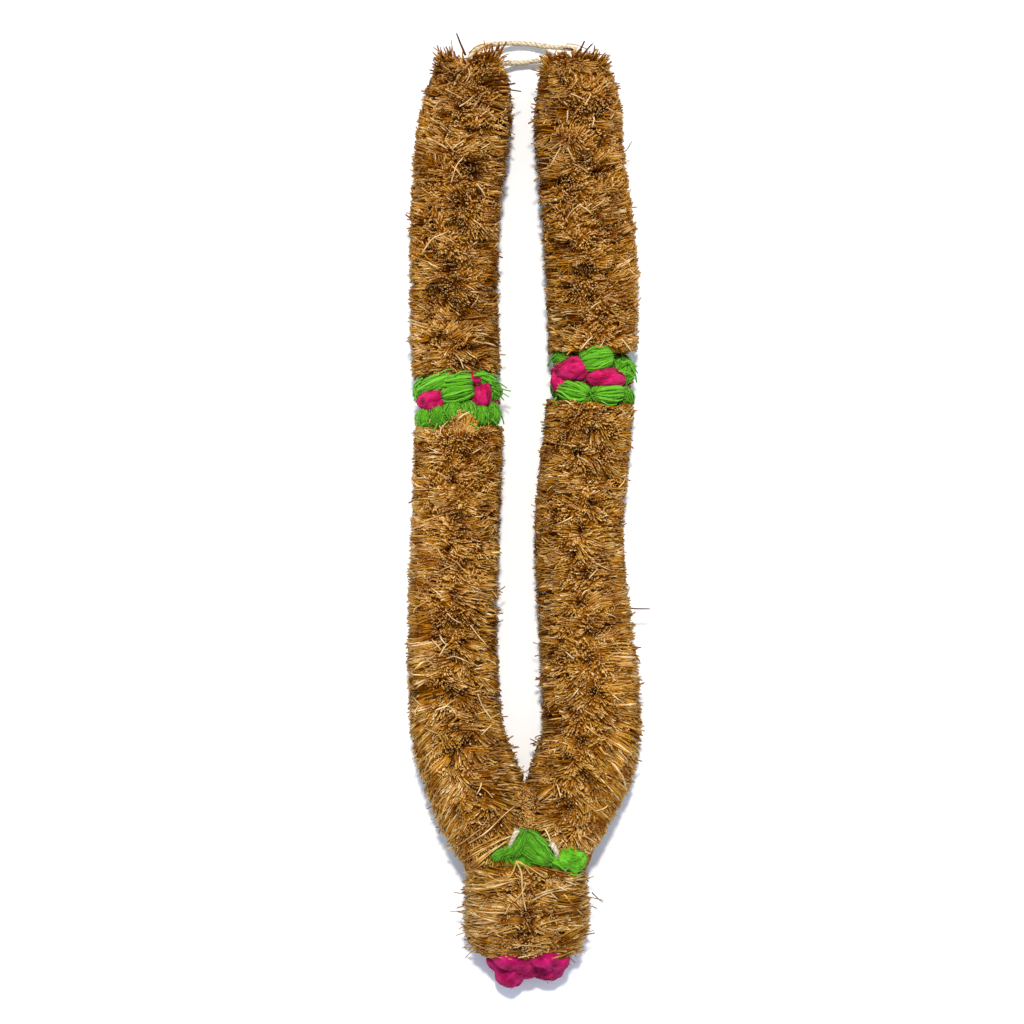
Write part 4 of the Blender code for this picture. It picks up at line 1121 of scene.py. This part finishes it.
# the puffs that face up: across and along from the band's middle, half length, half breadth and tilt,
# in mm and degrees, then how the wool is gathered
bandPuffs = {
    "left": {
        "upper": [
            (-13, 10.8, 15, 6.2, 19, "hank"), (-1, 12.6, 13, 5.0, 4, "hank"), (0.2, 4.8, 11, 6.4, 13, "hank"),
            (16, 12.2, 12, 5.8, -22, "hank"), (18.6, 5.4, 8, 5.4, -50, "pile"),
            (-18.4, 6.4, 8, 5, 50, "pile"),
        ],
        "middle": [
            (-15.6, 1.2, 11.4, 7.8, 4, "soft"), (13.4, 2.8, 9.6, 6.2, 82, "soft"),
            (9, 13.2, 5.2, 3.0, -20, "soft"),
        ],
        "lower": [
            (-17.4, -10.4, 7.8, 6.6, 80, "pile"), (-10.5, -9.8, 7.8, 6.4, 94, "pile"),
            (-2.6, -7.2, 7.4, 6.6, 88, "pile"), (5.6, -7.4, 7.4, 6.0, 96, "pile"),
            (12.5, -9.8, 7.8, 6.0, 84, "pile"), (17.6, -8.8, 8.8, 6.6, 98, "pile"),
        ],
    },
    "right": {
        "upper": [
            (-16.6, 9.6, 6, 4.6, 30, "pile"), (1.8, 12, 11, 8.2, 14, "hank"), (18.2, 5.2, 9, 7.2, 70, "pile"),
        ],
        "middle": [
            (-13.2, 4.6, 12.8, 8.4, 4, "soft"), (-17.2, -4.4, 9.6, 6.0, -66, "soft"),
            (8.6, -0.2, 13, 6.8, 2, "soft"),
        ],
        "lower": [
            (-11, -10.2, 11.6, 7.6, -12, "hank"), (10, -9.6, 11, 7.2, 6, "hank"),
            (18, -11.0, 7.6, 6.2, -56, "pile"),
        ],
    },
}
# x from the joint, y, height, half length, half breadth, half depth and tilt, in mm and degrees
tiePuffs = [
    (-18.2, -213.0, 38, 7.2, 4.8, 8.4, 34, "drawn"), (-4.8, -206.6, 38.6, 11.6, 5.6, 10, 66, "drawn"),
    (8.6, -208.8, 39.4, 16.4, 6.8, 11, -46, "drawn"), (5.2, -212.8, 38.2, 14.5, 6.4, 10, -30, "drawn"),
    (28.6, -216.0, 37, 9.8, 8.4, 10, -14, "ball"), (18.5, -217.0, 37, 9.5, 5.6, 9.4, -26, "drawn"),
    (-10.5, -211.0, 37, 8.4, 4.8, 9.4, 30, "drawn"),
    (-8, -217, 11, 12, 6.5, 10, 10, "hank"), (11, -218, 11, 12, 6.5, 10, -14, "hank"),
]
tieWraps = [((7, -217, 34), (1, 0, 0), 21, 6.6), ((0, -216, 22), (0, 0, 1), 13, 8.5)]
tasselPuffs = [
    (-14.8, -284.6, 19, 10.8, 7.2, 10, -14, "felt"), (-9.8, -290.4, 17, 11, 9.2, 13, 70, "felt"),
    (-2, -285.4, 20, 12, 9.5, 14, 0, "felt"), (15.5, -283.6, 19, 12.4, 8.6, 13, 10, "felt"),
    (12.8, -289.2, 16, 11.0, 7.4, 11, -10, "felt"), (11.4, -279.6, 34, 10, 6.6, 10.6, 10, "felt"),
    (-9.6, -281.4, 32, 12, 6.2, 10.4, -4, "felt"), (21.0, -282.0, 29, 6.4, 5.6, 9, -8, "felt"),
]
# how the tassel's puffs are matted into one
felt = {
    "voxel": 0.9 * mm, "smoothing": 12, "lumps": 1.0 * mm, "fluff": 0.32 * mm,
    # the lump and fluff tones paint raised felt lighter and its dips darker: painted light and shade
    "lumpScale": 140, "fluffScale": 420, "tone": 0.47, "lumpLightAndShade": 0.34, "fluffLightAndShade": 0.32,
}
# yarn ends that stand out in the photo: pixels, radius and height over the brush in mm
looseYarns = {
    "left_band_green_upper": [
        ([(490, 384), (502, 389), (511, 391)], 0.6, 0.5), ([(492, 388), (503, 393), (509, 397)], 0.55, 0.5),
        ([(488, 380), (499, 383), (507, 388)], 0.5, 0.5), ([(494, 391), (500, 396), (504, 400)], 0.6, -1),
        ([(421, 382), (415, 388), (413, 396)], 0.7, -1), ([(420, 386), (416, 394), (416, 403)], 0.7, -1.5),
        ([(423, 379), (416, 383), (413, 389)], 0.6, -1), ([(424, 388), (418, 392), (414, 401)], 0.6, -2),
        ([(440, 375), (447, 371), (452, 371)], 0.5, 0.6), ([(455, 377), (462, 373), (470, 373)], 0.5, 0.8),
        ([(474, 377), (486, 376), (497, 381)], 0.6, 0.8), ([(480, 375), (490, 375), (499, 378)], 0.5, 0.6),
    ],
    "left_band_green_lower": [
        ([(498, 412), (502, 417), (504, 424)], 0.6, -2), ([(419, 412), (415, 417), (416, 424)], 0.6, -2),
        ([(492, 420), (498, 426), (502, 431)], 0.55, -0.5), ([(425, 424), (420, 428), (418, 431)], 0.5, -0.5),
        ([(470, 424), (477, 428), (480, 432)], 0.5, 1), ([(438, 424), (436, 429), (431, 432)], 0.5, 1),
    ],
    "right_band_green_upper": [
        ([(626, 362), (633, 367), (638, 373)], 0.7, -1), ([(630, 366), (635, 374), (637, 382)], 0.7, -1.5),
        ([(548, 366), (551, 359), (556, 355)], 0.6, 0), ([(586, 353), (592, 349), (600, 350)], 0.5, 0.8),
        ([(621, 364), (629, 362), (636, 367)], 0.6, -0.5), ([(618, 372), (628, 374), (636, 380)], 0.6, 0.5),
    ],
    "right_band_green_lower": [
        ([(628, 390), (633, 396), (634, 403)], 0.6, -1), ([(556, 398), (554, 402), (557, 406)], 0.5, 0),
        ([(600, 402), (608, 406), (616, 405)], 0.5, 0.8),
    ],
    "tie_green": [
        ([(492, 858), (490, 861), (491, 864)], 0.5, 2), ([(552, 858), (559, 862), (566, 868)], 0.7, 4),
        ([(570, 871), (577, 873), (583, 871)], 0.6, 2), ([(583, 853), (585, 860), (585, 868)], 0.6, 0),
    ],
}
# how yarns lie on a puff. yarnRadius, lie and lift are shares of its size, wander is in radians and
# fuzzLength in mm
woolLook = {
    "hank": {
        "yarns": 34, "yarnRadius": 0.085, "wander": 0.14, "lie": 0.93, "lift": 0.05,
        "fuzz": 150, "fuzzLength": 1.8, "shade": 0.45,
    },
    "drawn": {
        "yarns": 84, "yarnRadius": 0.04, "wander": 0.13, "lie": 0.96, "lift": 0.03,
        "fuzz": 300, "fuzzLength": 1.4, "shade": 0.62, "tone": 0.42, "fullness": 1.7,
    },
    "pile": {
        "yarns": 60, "yarnRadius": 0.056, "wander": 0.5, "lie": 0.93, "lift": 0.1,
        "fuzz": 330, "fuzzLength": 1.9, "shade": 0.45,
    },
    "soft": {
        "yarns": 40, "yarnRadius": 0.03, "wander": 0.4, "lie": 0.97, "lift": 0.03,
        "fuzz": 130, "fuzzLength": 1.3, "shade": 1.0, "folds": 0.12,
    },
    "ball": {
        "yarns": 70, "yarnRadius": 0.026, "wander": 0.8, "lie": 0.97, "lift": 0.03,
        "fuzz": 420, "fuzzLength": 1.3, "shade": 0.72, "folds": 0.08,
    },
    "felt": {
        "yarns": 40, "yarnRadius": 0.02, "wander": 1.0, "lie": 0.985, "lift": 0.03,
        "fuzz": 420, "fuzzLength": 1.2, "shade": 1.0, "folds": 0.04,
    },
    "back": {
        "yarns": 14, "yarnRadius": 0.15, "wander": 0.14, "lie": 0.93, "lift": 0.05,
        "fuzz": 20, "fuzzLength": 1.8, "shade": 0.45,
    },
    "fuzzRadius": 0.13 * mm, "fullness": 2.4,
    "fineBelow": 0.06,  # thinner yarns have three sides
    "looseTone": 0.55,
}
# the soft body of a puff: finer where yarns don't cover it
softLook = {"folds": 4, "segments": 48, "coveredSegments": 24, "coveredFolds": 0.05, "coveredSize": 0.9}


def puffAt(centre, out, across, along, size, tilt, kind):
    lean = math.radians(tilt)
    lengthWay = across * math.cos(lean) + along * math.sin(lean)
    breadthWay = np.cross(out, lengthWay)
    return {
        "centre": np.array(centre), "axes": np.array([breadthWay, out, lengthWay]),
        "size": np.array([size[1], size[2], size[0]]), "kind": kind,
    }


def tierPuffs(line, at, tier, puffs):
    s = np.array(at)
    middle, ahead, side = placeOn(line, s), aheadOn(line, s), sideOn(line, s)
    along, made = -ahead, []
    far = band["puffTop"] - band["puffDepth"]
    for acrossMm, alongMm, halfLength, halfBreadth, tilt, kind in puffs:
        angle = math.acos(max(-1, min(1, acrossMm * mm / (line["halfWidth"] - band["puffDepth"]))))
        out = side * math.cos(angle) + up * math.sin(angle)
        centre = middle + side * acrossMm * mm + up * far * math.sin(angle) + along * alongMm * mm
        across = side * math.sin(angle) - up * math.cos(angle)
        size = (halfLength * mm, halfBreadth * mm, band["puffDepth"])
        made.append(puffAt(centre, out, across, along, size, tilt, kind))
    for i, degrees in enumerate(band["backAngles"]):
        angle = math.radians(degrees)
        out = side * math.cos(angle) + up * math.sin(angle)
        across = side * math.sin(angle) - up * math.cos(angle)
        outBy = band["backOut"][0] + band["backOut"][1] * abs(math.cos(angle))
        centre = middle + out * outBy + along * band["tierAt"][tier]
        size = (band["backPuff"][0] * mm, band["backPuff"][1] * mm, band["backDepth"])
        made.append(puffAt(centre, out, across, along, size, (-1) ** i * band["backTilt"], "back"))
    return made


def inPuff(puff, local):
    world = puff["centre"] + (local * puff["size"]) @ puff["axes"]
    world[..., 2] = np.maximum(world[..., 2], woolGap)
    return world


def wavering(points, seed, scale):
    flat = points.reshape(-1, 3) * scale + seed
    return np.array([noise.noise(Vector(p)) for p in flat.tolist()]).reshape(points.shape[:-1])


def readPoints(mesh, label):
    values = np.empty(len(mesh.vertices) * 3)
    mesh.vertices.foreach_get(label, values)
    return values.reshape(-1, 3)


def finishSkin(mesh, finish, tone):
    # what the finishes read, smooth faces and the material
    for label, values in (("tone", tone), ("along", tone * 0 + 1), ("matted", tone * 0)):
        mesh.attributes.new(label, "FLOAT", "POINT").data.foreach_set("value", values.astype(np.float32))
    mesh.polygons.foreach_set("use_smooth", np.ones(len(mesh.polygons), bool))
    mesh.materials.clear()
    mesh.materials.append(finish)


def softBody(puff, finish):
    # a ball pulled full at its ends, with a few soft folds from end to end
    look = woolLook[puff["kind"]]
    foldDepth = look.get("folds", softLook["coveredFolds"])
    size = 1 if "folds" in look else softLook["coveredSize"]
    segments = softLook["segments" if "folds" in look else "coveredSegments"]
    bpy.ops.object.select_all(action="DESELECT")
    bpy.ops.mesh.primitive_uv_sphere_add(
        segments=segments, ring_count=segments // 2, radius=1, location=(0, 0, 0))
    obj = bpy.context.object
    mesh = obj.data
    co = readPoints(mesh, "co")
    seed = rng.uniform(0, 50, 3)
    turn, height = np.arctan2(co[:, 1], co[:, 0]), co[:, 2]
    slow, quick = wavering(co, seed, 1.3), wavering(co, seed, 4.5)
    wave = softLook["folds"] / 2 * turn + 1.1 * height + 1.6 * slow + rng.uniform(0, math.pi)
    crest = np.abs(np.cos(wave)) ** 0.7
    full = look.get("fullness", woolLook["fullness"])
    girth = np.maximum(1 - np.abs(height) ** full, 0) ** (1 / full)
    radius = 1 - foldDepth * (1 - crest) + 0.22 * slow + 0.09 * quick
    shape = girth / np.maximum(np.hypot(co[:, 0], co[:, 1]), 1e-6) * radius
    local = np.column_stack([co[:, 0] * shape, co[:, 1] * shape, height * (1 + 0.1 * slow)]) * size
    mesh.vertices.foreach_set("co", inPuff(puff, local).ravel())
    # painted light and shade: the tone rises on fold crests and bulges and falls in the folds and dips; the
    # shade share darkens the whole body
    tone = 0.25 + 0.42 * crest + 0.35 * quick + 0.2 * slow
    finishSkin(mesh, finish, tone * look["shade"])
    return obj


def meltedBody(bodies, finish):
    # lobes of matted wool grown into one another
    bpy.ops.object.select_all(action="DESELECT")
    for body in bodies:
        body.select_set(True)
    bpy.context.view_layer.objects.active = bodies[0]
    bpy.ops.object.join()
    obj = bpy.context.object
    bpy.ops.object.modifier_add(type="REMESH")
    obj.modifiers[-1].mode = "VOXEL"
    obj.modifiers[-1].voxel_size = felt["voxel"]
    bpy.ops.object.modifier_apply(modifier=obj.modifiers[-1].name)
    bpy.ops.object.modifier_add(type="SMOOTH")
    obj.modifiers[-1].factor = 0.5
    obj.modifiers[-1].iterations = felt["smoothing"]
    bpy.ops.object.modifier_apply(modifier=obj.modifiers[-1].name)
    mesh = obj.data
    co, normal = readPoints(mesh, "co"), readPoints(mesh, "normal")
    slow, quick = wavering(co, 3.0, felt["lumpScale"]), wavering(co, 9.0, felt["fluffScale"])
    co = co + normal * (slow * felt["lumps"] + quick * felt["fluff"])[:, None]
    co[:, 2] = np.maximum(co[:, 2], woolGap)
    mesh.vertices.foreach_set("co", co.ravel())
    # painted light and shade: the tone follows the same lumps and fluff that push the surface out
    finishSkin(mesh, finish, felt["tone"] + felt["lumpLightAndShade"] * slow + felt["fluffLightAndShade"] * quick)
    return obj


def yarnBatch(puff, look):
    # yarns laid side by side over the puff from end to end
    strand = fineYarn if look["yarnRadius"] < woolLook["fineBelow"] else yarnStrand
    count, t = look["yarns"], strand["levels"]
    height = -0.98 + 1.96 * t[None] + rng.normal(0, 0.05, (count, 1))
    height = np.clip(height, -0.995, 0.995)
    turn = 2 * math.pi * (np.arange(count) + rng.normal(0, 0.3, count)) / count
    turn = turn[:, None] + look["wander"] * rng.normal(0, 1, (count, 3)) @ np.stack([t, t**2, np.sin(6 * t)])
    full = look.get("fullness", woolLook["fullness"])
    girth = (1 - np.abs(height) ** full) ** (1 / full)
    lift = look["lie"] + rng.normal(0, look["lift"], (count, 1)) + 0.02 * rng.normal(0, 1, height.shape)
    local = np.stack([np.cos(turn) * girth * lift, np.sin(turn) * girth * lift, height], axis=-1)
    size = look["yarnRadius"] * (puff["size"][0] + puff["size"][1]) / 2
    radius = size * rng.uniform(0.7, 1.35, (count, 1)) * (0.45 + 0.55 * girth)
    radius = radius * rng.uniform(0.85, 1.15, height.shape)
    tone = np.clip(rng.normal(look.get("tone", 0.5), 0.12, count), 0.05, 1)
    return layAlong(strand, inPuff(puff, local), radius, tone)


def fuzzBatch(puff, look):
    # loose fibre ends that stand off a puff
    count = look["fuzz"]
    way = unit(rng.normal(0, 1, (count, 3)))
    root = puff["centre"] + (way * puff["size"] * 0.92) @ puff["axes"]
    out = unit((way / puff["size"]) @ puff["axes"])
    length = rng.gamma(3, look["fuzzLength"] * mm / 3, count)[:, None]
    tip = root + unit(out + rng.normal(0, 0.8, (count, 3))) * length
    bend = rng.normal(0, 0.2, (2, count, 3)) * length
    path = curvedPaths(fuzzStrand, root, tip, bend[0], bend[1])
    radius = woolLook["fuzzRadius"] * rng.uniform(0.6, 1.3, (count, 1)) * np.array([[1, 0.7]])
    return layAlong(fuzzStrand, path, radius, rng.uniform(0.4, 1.0, count))


def hubBatch(centre, along, halfLength, radius):
    # yarn wound round the core, seen only between the puffs
    turn = Vector(along).to_track_quat("Z", "X").to_matrix()
    sides, count = 40, 25
    angle = 2 * math.pi * np.arange(sides) / sides
    h = np.linspace(-1, 1, count)[:, None]
    crest = np.abs(np.cos(h * 4.5 * math.pi + 0.5 * angle[None] + 0.3 * np.sin(3 * angle)[None]))
    r = radius * (0.92 + 0.08 * crest)
    height = np.broadcast_to(h * halfLength, r.shape)
    local = np.stack([r * np.cos(angle), r * np.sin(angle), height], axis=-1)
    world = local @ np.array(turn).T + np.array(centre)
    world[..., 2] = np.maximum(world[..., 2], woolGap)
    # painted shade in the grooves between the wraps, lighter on their crests
    return tubeBatch(world, 0.05 + 0.35 * crest, 1.0)


def woolPiece(node, puffs, wraps, finish, line):
    parts, batches = [], [hubBatch(*wrap) for wrap in wraps]
    for pixels, radius, lift in looseYarns.get(node, ()):
        batches.append(looseRoot(line, pixels, radius, woolLook["looseTone"], lift))
    for puff in puffs:
        look = woolLook[puff["kind"]]
        parts.append(softBody(puff, finish))
        batches.append(yarnBatch(puff, look))
        batches.append(fuzzBatch(puff, look))
    if all(puff["kind"] == "felt" for puff in puffs):
        parts = [meltedBody(parts, finish)]
    parts.append(makeMesh("yarns", finish, batches))
    bpy.ops.object.select_all(action="DESELECT")
    for part in parts:
        part.select_set(True)
    bpy.context.view_layer.objects.active = parts[0]
    bpy.ops.object.join()
    piece = bpy.context.object
    piece.name = node.replace("_", "") + "Wool"
    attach(piece, "root")
    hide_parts(node)
    return piece


def loosePuffs(table):
    side, along = np.array([1.0, 0, 0]), np.array([0, 1.0, 0])
    return [
        puffAt((jointX + x * mm, y * mm, z * mm), up, side, along, (a * mm, b * mm, c * mm), tilt, kind)
        for x, y, z, a, b, c, tilt, kind in table
    ]


# Twine

twine = {
    "diameter": 3.2 * mm, "radius": 1.5 * mm, "plies": 3, "pitch": 10 * mm, "plyDepth": 0.26,
    "step": 1.5 * mm, "sides": 12,
    "bareAbove": 285 * mm, "endSteps": 8,  # where the twine shows
    "fibresPerStep": 10, "fibreLength": 2.5 * mm, "fibreRadius": 0.12 * mm,
    "flare": 1.35, "flareOver": 5 * mm,  # how the cut end opens
    "heldFrom": 34 * mm, "heldStep": 22 * mm, "freeStep": 6.5 * mm,
}
twineRoutes = {
    "left": {
        "end": [
            (-3.0, -196.8, 49.4), (-4.8, -200.4, 48.4), (-6.6, -204.6, 45.2), (-9, -210, 38.6),
            (-15.6, -211.6, 29.4), (-20.4, -203, 22.4),
        ],
        "crossing": [
            (-33.8, 292, 21), (-31.6, 299, 19.6), (-24, 304, 14), (-9, 306.6, 6.5), (3, 306.6, 5),
            (15, 304.6, 6.5), (27, 302.6, 14), (35.5, 300, 19.6), (39.6, 291, 21), (41.4, 279, 21),
            (42.4, 264, 21),
        ],
        "held": 14 * mm, "length": 0.66,
    },
    "right": {
        "end": [
            (18.4, -205.4, 49.6), (20.8, -208.6, 48.6), (22.0, -212.4, 45.2), (21.0, -216.4, 38),
            (23.6, -214.5, 28.6), (26.2, -204, 22.2),
        ],
        "crossing": [
            (33.6, 281, 21), (32.2, 290, 20.4), (25, 295.4, 15.6), (13, 295.4, 8), (2, 294.4, 5),
            (-8, 293.6, 7), (-18.5, 291.6, 14), (-25.6, 286.4, 19.4), (-27.8, 277, 21), (-29.6, 262, 21),
        ],
        "held": 26 * mm, "length": 0.63,
    },
}


def twinePath(line, settings):
    # from the cut end up the middle of the strand and across the top
    lowest = line["length"] - twine["heldFrom"]
    count = max(2, round((lowest - settings["held"]) / twine["heldStep"]) + 1)
    held = placeOn(line, np.linspace(lowest, settings["held"], count))
    foot = smoothPath(np.array(settings["end"]) * mm, twine["freeStep"])
    over = smoothPath(np.array(settings["crossing"]) * mm, twine["freeStep"])
    return smoothPath(np.vstack([foot, held, over]), twine["step"])


def twineBatch(path, radius, flare=1.0):
    # three plies laid round each other, swept along the path
    ahead = unit(np.gradient(path, axis=0))
    sides = twine["sides"]
    across = unit(np.cross(ahead[0], up + np.array([0.1, 0.2, 0])))
    rings, tones = [], []
    gone = np.concatenate([[0], np.cumsum(np.linalg.norm(np.diff(path, axis=0), axis=1))])
    angle = 2 * math.pi * np.arange(sides) / sides
    for point, way, s in zip(path, ahead, gone):
        across = unit(across - way * (across @ way))
        other = np.cross(way, across)
        crest = np.abs(np.cos(twine["plies"] / 2 * (angle - 2 * math.pi * s / twine["pitch"])))
        wide = radius * (1 + (flare - 1) * max(0, 1 - s / twine["flareOver"]))
        r = wide * (1 + twine["plyDepth"] * 0.35 - twine["plyDepth"] * (1 - crest))
        rings.append(point + across * (np.cos(angle) * r)[:, None] + other * (np.sin(angle) * r)[:, None])
        # painted shade in the grooves between the plies, lighter on their crests
        tones.append(0.2 + 0.6 * crest + rng.normal(0, 0.05, sides))
    return tubeBatch(np.array(rings), np.array(tones), 1.0)


def twineFibres(path, count):
    # short fibres that lie along the twine and stand off it a little
    at = rng.integers(0, len(path) - 3, count)
    ahead = unit(path[at + 2] - path[at])
    out = rng.normal(0, 1, (count, 3))
    out = unit(out - ahead * (out * ahead).sum(axis=1, keepdims=True))
    root = path[at] + out * twine["radius"] * 0.9
    length = twine["fibreLength"] * rng.uniform(0.4, 1.2, (count, 1))
    tip = root + (ahead * rng.choice([-1, 1], (count, 1)) + out * rng.uniform(0.05, 0.3, (count, 1))) * length
    bend = rng.normal(0, 0.12, (2, count, 3)) * length
    curved = curvedPaths(fuzzStrand, root, tip, bend[0], bend[1])
    radius = twine["fibreRadius"] * rng.uniform(0.7, 1.4, (count, 1)) * np.array([[1, 0.7]])
    return layAlong(fuzzStrand, curved, radius, rng.uniform(0.2, 0.9, count))


def twinePiece(node, path, finish, flare=1.0):
    # fibres only where the twine shows: at its cut end and at the top of the loop
    shown = path[path[:, 1] > twine["bareAbove"]]
    batches = [twineBatch(path, twine["radius"], flare)]
    for part in (shown, path[:twine["endSteps"]]):
        if len(part) > 6:
            batches.append(twineFibres(part, twine["fibresPerStep"] * len(part)))
    piece = makeMesh(node.replace("_", ""), finish, batches)
    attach(piece, "root")
    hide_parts(node)
    return piece


# Making it all

addCamera()
addStudio()
print("scene: camera and light set")

rootMaterial = makeRootMaterial()
greenWool = makeWoolMaterial("greenWool", woolFinish["green"])
magentaWool = makeWoolMaterial("magentaWool", woolFinish["magenta"])
twineMaterial = makeTwineMaterial()

lines = {name: coreLine(settings) for name, settings in strands.items()}

for side in ("left", "right"):
    path = twinePath(lines[side], twineRoutes[side])
    piece = twinePiece(f"core_twine_{side}", path, twineMaterial, twine["flare"])
    length = float(np.linalg.norm(np.diff(path, axis=0), axis=1).sum())
    print("scene: twine", side, "is", round(length, 4), "m long")
hanging = {"above": 9 * mm, "below": 6 * mm, "points": 60}
hangingEnd = lines["pendant"]["length"] + hanging["below"]
hangingPath = placeOn(lines["pendant"], np.linspace(-hanging["above"], hangingEnd, hanging["points"]))
twinePiece("core_twine_pendant", hangingPath, twineMaterial)
print("scene: twines done")

woolPuffs = {}
for side in ("left", "right"):
    line, at = lines[side], strands[side]["bandAt"]
    for tier, node, slot, finish in (
        ("upper", f"{side}_band_green_upper", "wool_green", greenWool),
        ("middle", f"{side}_band_magenta", "wool_magenta", magentaWool),
        ("lower", f"{side}_band_green_lower", "wool_green", greenWool),
    ):
        puffs = tierPuffs(line, at, tier, bandPuffs[side][tier])
        s = np.array(at)
        along = -aheadOn(line, s)
        middle = placeOn(line, s) + along * band["tierAt"][tier]
        wrap = (middle, along, band["tierHalf"][tier], band["hubRadius"])
        woolPiece(node, puffs, [wrap], finish, line)
        woolPuffs[node] = puffs
tie = loosePuffs(tiePuffs)
wraps = [
    (np.array([jointX + x * mm, y * mm, z * mm]), way, half * mm, radius * mm)
    for (x, y, z), way, half, radius in tieWraps
]
woolPiece("tie_green", tie, wraps, greenWool, lines["pendant"])
tassel = loosePuffs(tasselPuffs)
woolPiece("tassel_magenta", tassel, [], magentaWool, lines["pendant"])
print("scene: wool done")

cutting = {"fromJoint": 2.5 * mm, "atJoint": 1.6 * mm, "atFoot": 2.0 * mm, "atCorner": 0.8 * mm}
leaning = {
    "sweepFrom": 170 * mm, "sweepOver": 130 * mm,  # before the line's lower end
    "riseOver": 80 * mm, "fanOver": 20 * mm, "fan": 1.5 * mm,
}


def strandLean(line, s, angle):
    # the lower bunches are combed towards the joint, the upper ones up and outwards
    swept = np.clip((s - (line["length"] - leaning["sweepFrom"])) / leaning["sweepOver"], 0, 1)
    sweep = swept ** 1.2 * line["sweep"]
    outer = np.clip(-line["inward"] * np.cos(angle), 0, 1)
    rising = np.exp(-(((s - line["risesAt"]) / leaning["riseOver"]) ** 2)) * outer * line["rises"]
    fan = np.clip(1 - s / leaning["fanOver"], 0, 1) ** 1.5 * leaning["fan"]
    return sweep * (0.35 + 0.65 * np.abs(np.cos(angle))) - rising - fan


for side in ("left", "right"):
    line = lines[side]
    above = strands[side]["bandAt"] - bandHalfLength
    below = strands[side]["bandAt"] + bandHalfLength
    spans = [(above * i / bunchesAbove, above * (i + 1) / bunchesAbove) for i in range(bunchesAbove)]
    step = (line["length"] - below) / bunchesBelow
    spans += [(below + step * i, below + step * (i + 1)) for i in range(bunchesBelow)]
    inward = strands[side]["inward"]
    planes = [
        ((jointX + inward * cutting["fromJoint"], 0, 0), (-inward, 0, 0), cutting["atJoint"]),
        ((0, pendantTop + strands[side]["cutBelow"], 0), (0, 1, 0), cutting["atFoot"]),
        *(((*fromPhoto(*pixel), 0), (*way, 0), cutting["atCorner"]) for pixel, way in line["corners"]),
    ]
    wool = [puff for node, puffs in woolPuffs.items() if node.startswith(side) for puff in puffs] + tie
    for i, (start, end) in enumerate(spans):
        node = f"{side}_bunch_{i + 1}"
        extras = looseFor(node, line) + (peakOverBand() if node == "left_bunch_5" else [])
        if i == 0:
            extras += growTop(line, topTufts[side])
        if node == "left_bunch_9":
            extras += mixedJoint()
        bunchPiece(node, line, start, end, partial(strandLean, line), planes, wool, rootMaterial, extras)

pendantLook = {
    "downOver": 26 * mm, "down": 1.5 * mm, "upFrom": 44 * mm, "upOver": 15 * mm, "up": 2 * mm,
    "cutAt": pendantBottom + 1 * mm, "ragged": 2 * mm,
}


def pendantLean(s, angle):
    down = np.clip(1 - s / pendantLook["downOver"], 0, 1) * pendantLook["down"]
    return down - np.clip((s - pendantLook["upFrom"]) / pendantLook["upOver"], 0, 1) * pendantLook["up"]


line = lines["pendant"]
pendantPlanes = [((0, pendantLook["cutAt"], 0), (0, 1, 0), pendantLook["ragged"])]
bunchPiece("pendant_bunch", line, 0, line["length"], pendantLean, pendantPlanes,
           tie + tassel, rootMaterial, looseFor("pendant_bunch", line))
print("scene: roots done")
